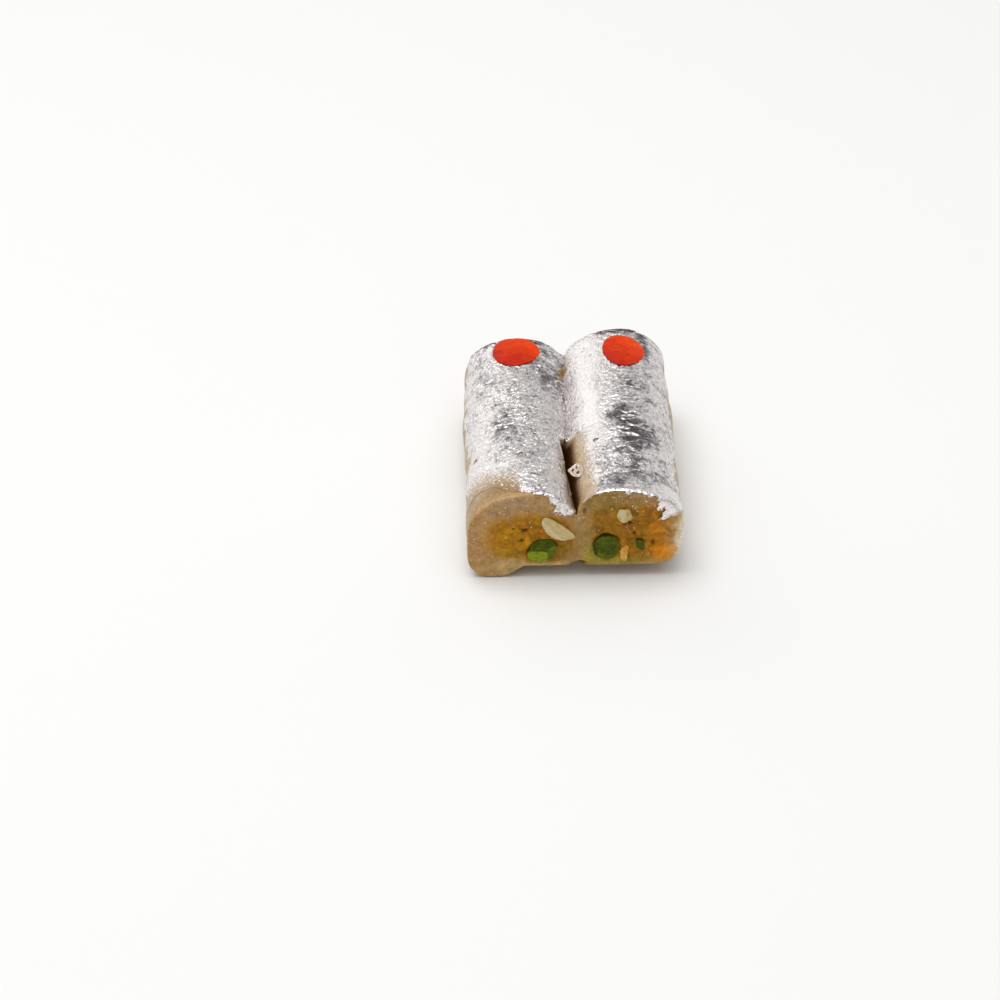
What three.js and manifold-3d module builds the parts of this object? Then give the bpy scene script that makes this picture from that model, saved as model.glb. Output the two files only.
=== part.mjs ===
// A twin cashew roll: two lobes of cashew paste stuck side by side, each with a nut filling
// that runs from cut end to cut end, one crinkled silver leaf over both and a red dot on each.
// Millimetres. X runs across the two lobes, Y along the roll away from the shown cut end, Z up.
// The origin is on the table under the middle of the roll.

import * as THREE from 'three';
import { mergeVertices } from 'three/addons/utils/BufferGeometryUtils.js';
import Module from 'manifold-3d';

const wasm = await Module();
wasm.setup();

// The whole roll
const LENGTH = 65.6;
const LEAF_OVERHANG = 0.25;
const FRONT = -LENGTH / 2 + LEAF_OVERHANG;
const BACK = FRONT + LENGTH;
const ROWS = 24;
const WELD = 1e-4;

// A lobe's section is four quarters of a superellipse that meet at the crown, the outer wall and
// the heel. The inner quarter falls towards the other lobe. A roundness of 2 is an ellipse.
const LEFT_FRONT = {
  crownX: -9.8, crownZ: 21.9, wallX: -23.9, wallZ: 11, heelX: -16.5, innerReach: 11,
  shoulder: 2.1, inner: 2.3, heel: 3.4,
};
const LEFT_BACK = {
  crownX: -11, crownZ: 21.4, wallX: -23.4, wallZ: 10.5, heelX: -15.5, innerReach: 12.2,
  shoulder: 2.1, inner: 2.1, heel: 2.8,
};
const RIGHT_FRONT = {
  crownX: 9.6, crownZ: 22.6, wallX: 23.8, wallZ: 13, heelX: 16, innerReach: 9.7,
  shoulder: 2.05, inner: 2.7, heel: 3,
};
const RIGHT_BACK = {
  crownX: 12.4, crownZ: 23.8, wallX: 23.5, wallZ: 12, heelX: 15.5, innerReach: 14.4,
  shoulder: 2.1, inner: 2, heel: 2.8,
};
const CROWN_CHANGE_LENGTH = 30;
const WALL_BULGE = { depth: 0.5, atY: 8, length: 11 };

// The seam between the lobes: a slit that is open at the shown end, then a soft groove
const SEAM_X = 0.3;
const SEAM_BOW = 1.6;
const GROOVE_FLOOR = 16.8;
const GROOVE_BLEND = 1.2;
const NEAREST_LIP = 0.985;
const SLIT = {
  length: 28, halfWidth: 1.25, depth: 5.4, closing: 0.92,
  leftOver: { halfWidth: 0.25, depth: 0.6 },
  bevel: { width: 1.35, narrowing: 0.35, runIn: 0.12 },
};

// The underside: a rolled flap makes a foot on the left, and the shown end arches off the table
const FLAP_EDGE_X = -11.4;
const FLAP_CURL = 6.2;
const ARCH_HEIGHT = 2.9;
const ARCH_LENGTH = 15;
const CREASE = { height: 1.1, halfWidth: 1.5 };
const FLAP_STATIONS = [-3.6, -2.2, -1, 0];
const CREASE_STATIONS = [-1.6, -0.7, 0, 0.7, 1.6];
const FLAT_STATIONS = { left: [-9, -5], right: [6, 11] };

// Hand-made unevenness of every lobe surface: a long swell and a shorter one, in radians a mm
const UNEVEN = 0.28;
const LONG_SWELL = { share: 0.65, x: 0.35, y: 0.21, phase: 0.9, crossX: 0.11, crossZ: 0.16 };
const SHORT_SWELL = { share: 0.35, x: -0.41, y: 0.52, z: 0.3, phase: 2.1 };
const OFF_TABLE = { from: 0.4, to: 3 };
const NORMAL_STEP = 1.5;

// How far the far end's edge is rounded, and where the station inside that rounding stands
const FAR_ROUND = 1.3;
const FAR_STEP = 0.35;

// Steps round a lobe: heel quarter, shoulder quarter, inner quarter
const HEEL_STEPS = 5;
const SHOULDER_STEPS = 9;
const INNER_STEPS = 7;

// The fillings, as superellipses in the section of each lobe
const FILLING_LEFT = {
  front: { x: -9.35, z: 10.4, halfWide: 9.35, halfHigh: 6.6 },
  back: { x: -11, z: 9.7, halfWide: 8.3, halfHigh: 6.6 },
  square: 3,
};
const FILLING_RIGHT = {
  front: { x: 12.55, z: 11.45, halfWide: 10, halfHigh: 7.55 },
  back: { x: 12, z: 10.8, halfWide: 8.8, halfHigh: 7.2 },
  square: 4,
};
const FILLING_STEPS = 24;
const FILLING_ROWS = 10;
const FILLING_WAVE = { height: 0.35, turns: [3, 2], twist: [0.23, -0.17] };
const CHANNEL_OVERRUN = 1;
const FIT_GAP = 0.15;

// Nut pieces that the cuts run through: place in the section, size, turn and how far one bows
const FRONT_NUTS = {
  pistachio_left: { x: -7.2, z: 7.1, wide: 6.8, high: 5.1, deep: 5.5, turn: 30, kind: 'pistachio' },
  pistachio_right: { x: 6.8, z: 7.9, wide: 5.9, high: 6.4, deep: 6, turn: -12, kind: 'pistachio' },
  pistachio_chip: { x: 14.3, z: 8.4, wide: 1.9, high: 3.1, deep: 2, turn: 18, kind: 'pistachio' },
  cashew_sliver: {
    x: -4, z: 12.8, wide: 8.7, high: 3.8, deep: 3.6, turn: -38, bow: 0.26, kind: 'cashew',
  },
  cashew_chip: { x: 10.7, z: 16.3, wide: 3.3, high: 3.5, deep: 2.6, turn: 30, kind: 'cashew' },
  nut_crumb: { x: 10.75, z: 6.3, wide: 1.9, high: 3.8, deep: 2.4, turn: -10, kind: 'crumb' },
};
const BACK_NUTS = {
  pistachio_back_left: { x: -12.4, z: 8.2, wide: 5.6, high: 4.6, deep: 5, turn: -20, kind: 'pistachio' },
  pistachio_back_right: { x: 15.6, z: 8.4, wide: 6.2, high: 5.2, deep: 5, turn: 30, kind: 'pistachio' },
  cashew_back_sliver: {
    x: 8.6, z: 12.6, wide: 7.6, high: 3, deep: 3.4, turn: 40, bow: 0.2, kind: 'cashew',
  },
  cashew_back_chip: { x: -7.6, z: 12.4, wide: 3.6, high: 2.8, deep: 2.6, turn: -15, kind: 'cashew' },
};
const NUTS_BY_END = [[FRONT_NUTS, -1], [BACK_NUTS, 1]];
const NUT_PROUD = 0.1;
const NUT_STEPS = { around: 12, along: 8 };
const NUT_KNOBS = { height: 0.05, across: 4, up: 5 };
const CASHEW_POINT = 0.1;

// The silver leaf: a thin skin a little off the paste, torn at its edges
const LEAF_GAP = 0.2;
const LEAF_THICKNESS = 0.3;
const LEAF_ROWS = 34;
const LEAF_COLUMNS = 13;
const LEAF_EDGE = { left: 12, right: 16, ragged: 11 };
const LEAF_WAVE = { height: 0.07, along: 3.3, around: 0.4 };
const TORN_WAVES = [
  { height: 0.45, along: 0.31, phase: 1 },
  { height: 0.34, along: 0.97, phase: 2.3 },
  { height: 0.2, along: 2.1, phase: 0.7 },
];
const TORN_SEED = {
  left: { edge: 4.1, front: 0.4, drape: 1.7 }, right: { edge: 0.6, front: 2.9, drape: 1.7 },
};
const LEAF_NIBBLE = { depth: 0.35, degrees: 4 };
const BARE_PATCH = { retreat: 8.5, fullBelow: 40, goneAbove: 87, runOut: 0.3 };
const LEAF_SEAM_MARGIN = 0.5;
const LEAF_SLIT_MARGIN = { left: 0, right: 1, fade: 17 };
const DRAPE_ROWS = 2;
const DRAPES = {
  left: { from: 104, to: 146, hang: 3.4 },
  right: { from: 16, to: 50, hang: 4.4 },
};
const DRAPE_LEAST = 0.8;
const DRAPE_RAGGED = { share: 0.25, degrees: 3 };

// The red dots: dabs of colour paste that dried on the leaf
const DOTS = {
  dot_left: { side: 'left', x: -11.6, y: FRONT + 59.2, halfWide: 5.2, halfLong: 5.9 },
  dot_right: { side: 'right', x: 13.1, y: FRONT + 55.4, halfWide: 4.6, halfLong: 6.5 },
};
const DOT_THICKNESS = 0.45;
const DOT_RIM = 0.12;
const DOT_RINGS = 4;
const DOT_SIDES = 24;
const DOT_GAP = 0.1;
const DOT_SHOULDER = 4;
const DOT_WANDER = [{ height: 0.05, turns: 3 }, { height: 0.03, turns: 7 }];
const STEEPEST_DOT = 0.999;

const MATERIALS = {
  paste: { color: 0xc8ac80, roughness: 0.55, metalness: 0 },
  filling: { color: 0xa5711a, roughness: 0.4, metalness: 0 },
  pistachio: { color: 0x5f6e14, roughness: 0.45, metalness: 0 },
  cashew: { color: 0xcdb888, roughness: 0.5, metalness: 0 },
  crumb: { color: 0xb98a3c, roughness: 0.55, metalness: 0 },
  leaf: { color: 0xdcdad8, roughness: 0.25, metalness: 1 },
  dot: { color: 0xd8431f, roughness: 0.5, metalness: 0 },
};

const { clamp, degToRad, lerp, radToDeg, smoothstep } = THREE.MathUtils;

// How far along the roll a station is: 0 at the shown end, 1 at the far end
function along(y) {
  return clamp((y - FRONT) / LENGTH, 0, 1);
}

function mixSizes(front, back, share) {
  const mixed = {};
  for (const key of Object.keys(front)) {
    mixed[key] = lerp(front[key], back[key], share);
  }
  return mixed;
}

// A smooth maximum, rounded over about the length blend
function softMax(a, b, blend) {
  return (a + b + Math.hypot(a - b, blend)) / 2;
}

function seamX(y) {
  return SEAM_X - SEAM_BOW * Math.sin(Math.PI * along(y));
}

// The slit's half width and depth: it widens away from the cut and closes where the leaf bridges it
function slitAt(y) {
  const share = clamp((y - FRONT) / SLIT.length, 0, 1);
  const open = share * (1 - smoothstep(share, SLIT.closing, 1));
  return {
    halfWidth: SLIT.leftOver.halfWidth + SLIT.halfWidth * open,
    depth: SLIT.leftOver.depth + SLIT.depth * Math.sqrt(open),
  };
}

// How far a lip of the slit is from the seam: the right one is bevelled
function lipReach(side, y) {
  const share = clamp((y - FRONT) / SLIT.length, 0, 1);
  const { width, narrowing, runIn } = SLIT.bevel;
  const open = smoothstep(share, 0, runIn) * (1 - smoothstep(share, SLIT.closing, 1));
  const bevel = side === 'right' ? width * (1 - narrowing * share) * open : 0;
  return slitAt(y).halfWidth + bevel;
}

// How high the underside stands off the table at a place
function undersideZ(x, y) {
  const arch = ARCH_HEIGHT * (1 - smoothstep(y, FRONT, FRONT + ARCH_LENGTH));
  const past = clamp((x - FLAP_EDGE_X) / FLAP_CURL + 1, 0, 1) ** 2;
  const fromCrease = (x - seamX(y)) / CREASE.halfWidth;
  return arch * past + CREASE.height * Math.exp(-fromCrease * fromCrease);
}

// A small push along the surface's normal, the same wherever it is asked for
function uneven(x, y, z) {
  const long = Math.sin(LONG_SWELL.y * y + LONG_SWELL.x * x + LONG_SWELL.phase)
    * Math.cos(LONG_SWELL.crossZ * z + LONG_SWELL.crossX * x);
  const short = Math.sin(
    SHORT_SWELL.y * y + SHORT_SWELL.x * x + SHORT_SWELL.z * z + SHORT_SWELL.phase,
  );
  return UNEVEN * (LONG_SWELL.share * long + SHORT_SWELL.share * short);
}

// How far a section shrinks beside the far end, where the edge is rounded
function endInset(y) {
  const inside = clamp(FAR_ROUND - (BACK - y), 0, FAR_ROUND);
  return FAR_ROUND - Math.sqrt(FAR_ROUND * FAR_ROUND - inside * inside);
}

function lobeAt(side, y) {
  const share = smoothstep(y, FRONT, FRONT + CROWN_CHANGE_LENGTH);
  const sizes = side === 'left'
    ? mixSizes(LEFT_FRONT, LEFT_BACK, share)
    : mixSizes(RIGHT_FRONT, RIGHT_BACK, share);
  sizes.outward = side === 'left' ? -1 : 1;
  const fromBulge = (y - WALL_BULGE.atY) / WALL_BULGE.length;
  sizes.wallX += sizes.outward * WALL_BULGE.depth * Math.exp(-fromBulge * fromBulge);
  return sizes;
}

function power(value, roundness) {
  return Math.sign(value) * Math.pow(Math.abs(value), 2 / roundness);
}

// The section of a lobe at an angle in degrees: -90 heel, 0 outer wall, 90 crown, then inwards
function bareSection(lobe, y, angle) {
  const turn = degToRad(angle);
  if (angle < 0) {
    const heelZ = undersideZ(lobe.heelX, y);
    return {
      x: lobe.heelX + (lobe.wallX - lobe.heelX) * power(Math.cos(turn), lobe.heel),
      z: lobe.wallZ + (lobe.wallZ - heelZ) * power(Math.sin(turn), lobe.heel),
    };
  }
  const inwards = angle > 90;
  const reach = inwards ? lobe.outward * lobe.innerReach : lobe.wallX - lobe.crownX;
  const roundness = inwards ? lobe.inner : lobe.shoulder;
  const z = lobe.wallZ + (lobe.crownZ - lobe.wallZ) * power(Math.sin(turn), roundness);
  const lifted = softMax(lobe.crownZ, GROOVE_FLOOR, GROOVE_BLEND) - lobe.crownZ;
  return {
    x: lobe.crownX + reach * power(Math.cos(turn), roundness),
    z: inwards ? softMax(z, GROOVE_FLOOR, GROOVE_BLEND) - lifted : z,
  };
}

// A point of a lobe's surface, moved out along the section's normal
function lobePoint(side, y, angle, out) {
  const lobe = lobeAt(side, y);
  const here = bareSection(lobe, y, angle);
  const before = bareSection(lobe, y, angle - NORMAL_STEP);
  const after = bareSection(lobe, y, angle + NORMAL_STEP);
  const run = Math.hypot(after.x - before.x, after.z - before.z);
  const normalX = lobe.outward * (after.z - before.z) / run;
  const normalZ = -lobe.outward * (after.x - before.x) / run;
  const offTable = smoothstep(here.z, OFF_TABLE.from, OFF_TABLE.to);
  const push = out + (uneven(here.x, y, here.z) - endInset(y)) * offTable;
  return new THREE.Vector3(here.x + normalX * push, y, here.z + normalZ * push);
}

// The angle at which a lobe's inner quarter comes to a distance from the seam
function seamAngle(side, y, fromSeam) {
  const lobe = lobeAt(side, y);
  const reach = Math.abs(seamX(y) + lobe.outward * fromSeam - lobe.crownX) / lobe.innerReach;
  const share = Math.min(Math.pow(reach, lobe.inner / 2), NEAREST_LIP);
  return 180 - radToDeg(Math.acos(share));
}

// The whole outline of the paste at a station, anticlockwise seen from the shown end
function pasteOutline(y) {
  const slit = slitAt(y);
  const points = [];
  const walk = (side, order) => {
    const lip = seamAngle(side, y, lipReach(side, y));
    const angles = [];
    for (let i = 0; i <= INNER_STEPS; i += 1) {
      angles.push(lerp(lip, 90, i / INNER_STEPS));
    }
    for (let i = 1; i <= SHOULDER_STEPS; i += 1) {
      angles.push(lerp(90, 0, i / SHOULDER_STEPS));
    }
    for (let i = 1; i <= HEEL_STEPS; i += 1) {
      angles.push(lerp(0, -90, i / HEEL_STEPS));
    }
    const found = angles.map((angle) => lobePoint(side, y, angle, 0));
    points.push(...(order === 'down' ? found : found.reverse()));
  };
  walk('left', 'down');
  const stations = [
    ...FLAP_STATIONS.map((offset) => FLAP_EDGE_X + offset), ...FLAT_STATIONS.left,
    ...CREASE_STATIONS.map((offset) => seamX(y) + offset), ...FLAT_STATIONS.right,
  ];
  points.push(...stations.map((x) => new THREE.Vector3(x, y, undersideZ(x, y))));
  walk('right', 'up');
  const lipZ = Math.min(points[0].z, points[points.length - 1].z);
  points.push(new THREE.Vector3(seamX(y), y, lipZ - slit.depth));
  return points;
}

// A closed solid through outlines of equal length, with flat ends
function loft(outlines) {
  const count = outlines[0].length;
  const positions = [];
  const index = [];
  for (const outline of outlines) {
    for (const point of outline) {
      positions.push(point.x, point.y, point.z);
    }
  }
  for (let row = 0; row + 1 < outlines.length; row += 1) {
    for (let i = 0; i < count; i += 1) {
      const next = (i + 1) % count;
      const a = row * count + i;
      const b = row * count + next;
      index.push(a, b, a + count, b, b + count, a + count);
    }
  }
  const first = outlines[0].map((point) => new THREE.Vector2(point.x, point.z));
  for (const [a, b, c] of THREE.ShapeUtils.triangulateShape(first, [])) {
    index.push(a, c, b);
  }
  const start = (outlines.length - 1) * count;
  const last = outlines.at(-1).map((point) => new THREE.Vector2(point.x, point.z));
  for (const [a, b, c] of THREE.ShapeUtils.triangulateShape(last, [])) {
    index.push(start + a, start + b, start + c);
  }
  return facing(positions, index);
}

// A geometry from corners and triangles, turned so that its faces point out
function facing(positions, index) {
  let volume = 0;
  const corner = (i) => new THREE.Vector3().fromArray(positions, 3 * i);
  for (let i = 0; i < index.length; i += 3) {
    volume += corner(index[i]).dot(corner(index[i + 1]).cross(corner(index[i + 2])));
  }
  if (volume < 0) {
    for (let i = 0; i < index.length; i += 3) {
      [index[i], index[i + 1]] = [index[i + 1], index[i]];
    }
  }
  const geometry = new THREE.BufferGeometry();
  geometry.setAttribute('position', new THREE.Float32BufferAttribute(positions, 3));
  geometry.setIndex(index);
  return geometry;
}

function toSolid(geometry) {
  const bare = geometry.clone();
  bare.deleteAttribute('normal');
  bare.deleteAttribute('uv');
  const merged = mergeVertices(bare, WELD);
  return new wasm.Manifold(new wasm.Mesh({
    numProp: 3,
    vertProperties: new Float32Array(merged.attributes.position.array),
    triVerts: new Uint32Array(merged.index.array),
  }));
}

function toGeometry(solid) {
  const mesh = solid.getMesh();
  const geometry = new THREE.BufferGeometry();
  geometry.setAttribute('position', new THREE.BufferAttribute(mesh.vertProperties, 3));
  geometry.setIndex(new THREE.BufferAttribute(mesh.triVerts, 1));
  return geometry;
}

// The stations along the roll: evenly spaced, with two more in the rounded edge at the far end
function stationsAlong(rows) {
  const stations = [];
  for (let i = 0; i <= rows; i += 1) {
    stations.push(lerp(FRONT, BACK - FAR_ROUND, i / rows));
  }
  return [...stations, BACK - FAR_ROUND * FAR_STEP, BACK];
}

// A length of filling, or the channel for it when there is no gap and it runs past both ends
function fillingLoft(filling, gap, overrun) {
  const { height, turns, twist } = FILLING_WAVE;
  const outlines = [];
  for (let row = 0; row <= FILLING_ROWS; row += 1) {
    const y = lerp(FRONT - overrun, BACK + overrun, row / FILLING_ROWS);
    const sizes = mixSizes(filling.front, filling.back, along(y));
    const outline = [];
    for (let i = 0; i < FILLING_STEPS; i += 1) {
      const turn = (2 * Math.PI * i) / FILLING_STEPS;
      const wave = height * Math.sin(turns[0] * turn + twist[0] * y)
        * Math.sin(turns[1] * turn + twist[1] * y);
      const grow = wave - gap;
      const x = sizes.x + (sizes.halfWide + grow) * power(Math.cos(turn), filling.square);
      const z = sizes.z + (sizes.halfHigh + grow) * power(Math.sin(turn), filling.square);
      outline.push(new THREE.Vector3(x, y, z));
    }
    outlines.push(outline);
  }
  return loft(outlines);
}

function paste() {
  const body = toSolid(loft(stationsAlong(ROWS).map(pasteOutline)));
  const channels = [FILLING_LEFT, FILLING_RIGHT].map(
    (sizes) => toSolid(fillingLoft(sizes, 0, CHANNEL_OVERRUN)),
  );
  return toGeometry(body.subtract(channels[0]).subtract(channels[1]));
}

// One nut piece at a cut end, which faces -Y or +Y: a knobbly ellipsoid, grown by a gap to make
// its pocket, or flat where the knife went through it
function nutGeometry(nut, facingY, grow, cut) {
  const geometry = new THREE.SphereGeometry(1, NUT_STEPS.around, NUT_STEPS.along);
  geometry.deleteAttribute('normal');
  geometry.deleteAttribute('uv');
  const merged = mergeVertices(geometry, WELD);
  const position = merged.attributes.position;
  const point = new THREE.Vector3();
  const axis = new THREE.Vector3(0, 1, 0);
  for (let i = 0; i < position.count; i += 1) {
    point.fromBufferAttribute(position, i);
    const across = point.x;
    const pointed = nut.kind === 'cashew' ? 1 - CASHEW_POINT * across * across : 1;
    const knobs = 1 + NUT_KNOBS.height
      * Math.sin(NUT_KNOBS.across * across + nut.x) * Math.cos(NUT_KNOBS.up * point.z + nut.z);
    point.x *= (nut.wide / 2) * knobs + grow;
    point.y *= nut.deep + grow;
    const bowed = (nut.bow ?? 0) * nut.high * (across * across - 0.5);
    point.z = point.z * ((nut.high / 2) * knobs * pointed + grow) + bowed;
    if (cut && facingY * point.y > 0) {
      point.y = 0;
    }
    point.applyAxisAngle(axis, -degToRad(nut.turn));
    const faceY = (facingY < 0 ? FRONT : BACK) + (cut ? facingY * NUT_PROUD : 0);
    position.setXYZ(i, point.x + nut.x, point.y + faceY, point.z + nut.z);
  }
  return merged;
}

function filling(sizes) {
  let solid = toSolid(fillingLoft(sizes, FIT_GAP, 0));
  const bySide = (nut) => Math.sign(nut.x) === Math.sign(sizes.front.x);
  for (const [nuts, facingY] of NUTS_BY_END) {
    for (const nut of Object.values(nuts).filter(bySide)) {
      solid = solid.subtract(toSolid(nutGeometry(nut, facingY, FIT_GAP, false)));
    }
  }
  return toGeometry(solid);
}

// Torn edges: a sum of waves between -1 and 1 that has no rhythm the eye can find
function torn(y, seed) {
  return TORN_WAVES.reduce(
    (sum, wave) => sum + wave.height * Math.sin(wave.along * y + wave.phase * seed), 0,
  );
}

// How far down the cut face the leaf hangs at an angle of a lobe
function drapeAt(side, angle) {
  const drape = DRAPES[side];
  const share = (angle - drape.from) / (drape.to - drape.from);
  if (share <= 0 || share >= 1) {
    return 0;
  }
  const ragged = DRAPE_RAGGED.share * torn(angle / DRAPE_RAGGED.degrees, TORN_SEED[side].drape);
  return drape.hang * Math.sin(Math.PI * share) * (1 + ragged);
}

// Where the leaf starts along the roll: at the cut, or behind the patch of bare paste
function leafStart(side, angle) {
  if (drapeAt(side, angle) > DRAPE_LEAST) {
    return 0;
  }
  const nibble = LEAF_NIBBLE.depth * (1 + torn(angle / LEAF_NIBBLE.degrees, TORN_SEED[side].front));
  if (side === 'right') {
    return nibble;
  }
  return nibble + BARE_PATCH.retreat * (1 - smoothstep(angle, BARE_PATCH.fullBelow, BARE_PATCH.goneAbove));
}

// The angle of a leaf column at a station: from the torn edge on the wall to the seam
function leafAngle(side, y, column) {
  const edge = LEAF_EDGE[side] + LEAF_EDGE.ragged * torn(y, TORN_SEED[side].edge);
  const slitEnd = FRONT + SLIT.length;
  const besideSlit = 1 - smoothstep(y, slitEnd - LEAF_SLIT_MARGIN.fade, slitEnd);
  const margin = LEAF_SEAM_MARGIN + LEAF_SLIT_MARGIN[side] * besideSlit;
  return lerp(edge, seamAngle(side, y, lipReach(side, y) + margin), column / LEAF_COLUMNS);
}

const LEAF_STATIONS = stationsAlong(LEAF_ROWS);

// A leaf point: a row and a column of one lobe's half of the leaf, moved out from the paste
function leafPoint(side, row, column, out) {
  const station = LEAF_STATIONS[Math.max(row - DRAPE_ROWS, 0)];
  const angle = leafAngle(side, station, column);
  const retreat = leafStart(side, angle) * Math.max(0, 1 - along(station) / BARE_PATCH.runOut);
  const y = station + retreat;
  if (row > DRAPE_ROWS) {
    const wave = LEAF_WAVE.height * Math.sin(LEAF_WAVE.along * y + LEAF_WAVE.around * angle);
    return lobePoint(side, y, angle, out + wave);
  }
  if (retreat > 0) {
    return lobePoint(side, y, angle, out);
  }
  const hung = drapeAt(side, angle) * (1 - row / DRAPE_ROWS);
  const point = lobePoint(side, FRONT, angle, out - hung);
  point.y = FRONT - out;
  return point;
}

// A thin skin over a grid of points: both faces split alike, and a rim wherever a cell has no neighbour
function skin(rows, columns, hasCell, pointAt) {
  const positions = [];
  const index = [];
  const number = new Map();
  const corner = (row, column, face) => {
    const key = `${row} ${column} ${face}`;
    if (!number.has(key)) {
      number.set(key, positions.length / 3);
      positions.push(...pointAt(row, column, face).toArray());
    }
    return number.get(key);
  };
  const inGrid = (row, column) => row >= 0 && column >= 0 && row < rows && column < columns;
  const cell = (row, column) => inGrid(row, column) && hasCell(row, column);
  const quad = (a, b, c, d) => index.push(a, b, c, a, c, d);
  for (let row = 0; row < rows; row += 1) {
    for (let column = 0; column < columns; column += 1) {
      if (!cell(row, column)) {
        continue;
      }
      const ring = [[row, column], [row, column + 1], [row + 1, column + 1], [row + 1, column]];
      const outer = ring.map(([r, c]) => corner(r, c, 1));
      const inner = ring.map(([r, c]) => corner(r, c, 0));
      quad(...outer);
      index.push(inner[0], inner[2], inner[1], inner[0], inner[3], inner[2]);
      const beside = [[row - 1, column], [row, column + 1], [row + 1, column], [row, column - 1]];
      beside.forEach(([r, c], i) => {
        if (!cell(r, c)) {
          const next = (i + 1) % 4;
          quad(inner[i], inner[next], outer[next], outer[i]);
        }
      });
    }
  }
  return facing(positions, index);
}

function silverLeaf() {
  const columns = 2 * LEAF_COLUMNS + 1;
  const rows = LEAF_STATIONS.length - 1 + DRAPE_ROWS;
  const pointAt = (row, column, face) => {
    const out = LEAF_GAP + face * LEAF_THICKNESS;
    return column <= LEAF_COLUMNS
      ? leafPoint('left', row, column, out)
      : leafPoint('right', row, columns - column, out);
  };
  const hangs = (column) => {
    const [side, first] = column < LEAF_COLUMNS ? ['left', column] : ['right', columns - column - 1];
    const angles = [first, first + 1].map((edge) => leafAngle(side, FRONT, edge));
    return angles.every((angle) => drapeAt(side, angle) > DRAPE_LEAST);
  };
  const hasCell = (row, column) => {
    if (column === LEAF_COLUMNS) {
      return LEAF_STATIONS[row - DRAPE_ROWS] > FRONT + SLIT.length;
    }
    return row >= DRAPE_ROWS || hangs(column);
  };
  return skin(rows, columns, hasCell, pointAt);
}

// The angle of a lobe's outer or inner quarter above a place across the roll
function angleAbove(side, x, y) {
  const lobe = lobeAt(side, y);
  const outwards = lobe.outward * (x - lobe.crownX) > 0;
  const reach = outwards ? Math.abs(lobe.wallX - lobe.crownX) : lobe.innerReach;
  const roundness = outwards ? lobe.shoulder : lobe.inner;
  const share = Math.min(Math.abs(x - lobe.crownX) / reach, STEEPEST_DOT);
  const fromWall = radToDeg(Math.acos(Math.pow(share, roundness / 2)));
  return outwards ? fromWall : 180 - fromWall;
}

// A dab that follows the leaf, thickest in the middle, with a slightly wandering edge
function dot(sizes) {
  const positions = [];
  const index = [];
  const add = (ring, step, face) => {
    const turn = (2 * Math.PI * step) / DOT_SIDES;
    const share = ring / DOT_RINGS;
    const wander = DOT_WANDER.reduce(
      (sum, wave) => sum + wave.height * Math.sin(wave.turns * turn + sizes.x), 1,
    );
    const x = sizes.x + sizes.halfWide * share * wander * Math.cos(turn);
    const y = sizes.y + sizes.halfLong * share * wander * Math.sin(turn);
    const rise = face * (DOT_RIM + (DOT_THICKNESS - DOT_RIM) * (1 - share ** DOT_SHOULDER));
    const out = LEAF_GAP + LEAF_THICKNESS + LEAF_WAVE.height + DOT_GAP + rise;
    positions.push(...lobePoint(sizes.side, y, angleAbove(sizes.side, x, y), out).toArray());
    return positions.length / 3 - 1;
  };
  const faces = [0, 1].map((face) => {
    const rings = [[add(0, 0, face)]];
    for (let ring = 1; ring <= DOT_RINGS; ring += 1) {
      rings.push(Array.from({ length: DOT_SIDES }, (unused, step) => add(ring, step, face)));
    }
    return rings;
  });
  const triangle = (face, a, b, c) => index.push(...(face === 1 ? [a, b, c] : [a, c, b]));
  faces.forEach((rings, face) => {
    for (let step = 0; step < DOT_SIDES; step += 1) {
      const next = (step + 1) % DOT_SIDES;
      triangle(face, rings[0][0], rings[1][step], rings[1][next]);
      for (let ring = 1; ring < DOT_RINGS; ring += 1) {
        const [inner, outer] = [rings[ring], rings[ring + 1]];
        triangle(face, inner[step], outer[step], outer[next]);
        triangle(face, inner[step], outer[next], inner[next]);
      }
    }
  });
  const [low, high] = faces.map((rings) => rings[DOT_RINGS]);
  for (let step = 0; step < DOT_SIDES; step += 1) {
    const next = (step + 1) % DOT_SIDES;
    index.push(high[step], low[step], low[next], high[step], low[next], high[next]);
  }
  return facing(positions, index);
}

function named(name, geometry, material) {
  const plain = geometry.toNonIndexed();
  plain.computeVertexNormals();
  const mesh = new THREE.Mesh(plain, new THREE.MeshStandardMaterial(MATERIALS[material]));
  mesh.name = name;
  return mesh;
}

const roll = new THREE.Group();
roll.add(named('dough', paste(), 'paste'));
roll.add(named('filling_left', filling(FILLING_LEFT), 'filling'));
roll.add(named('filling_right', filling(FILLING_RIGHT), 'filling'));
for (const [nuts, facingY] of NUTS_BY_END) {
  for (const [name, nut] of Object.entries(nuts)) {
    roll.add(named(name, nutGeometry(nut, facingY, 0, true), nut.kind));
  }
}
roll.add(named('silver_leaf', silverLeaf(), 'leaf'));
for (const [name, sizes] of Object.entries(DOTS)) {
  roll.add(named(name, dot(sizes), 'dot'));
}

export default roll;
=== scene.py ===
"""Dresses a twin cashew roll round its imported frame.

Two lobes of cashew paste lie side by side, each round a nut filling that shows at the cut ends.
Silver leaf covers the tops, and each lobe has a dot of red colour. Sizes are in millimetres
unless a name says otherwise. X runs across the two lobes, Y along the roll away from the shown
cut end, and Z up from the table.
"""

import logging
import math
from dataclasses import astuple, dataclass, field
from enum import Enum

import bmesh
import bpy
import numpy as np
from bpy.types import Material, NodeSocket, NodeTree, Object
from mathutils import Euler, Matrix, Vector, noise
from mathutils.geometry import delaunay_2d_cdt

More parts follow.
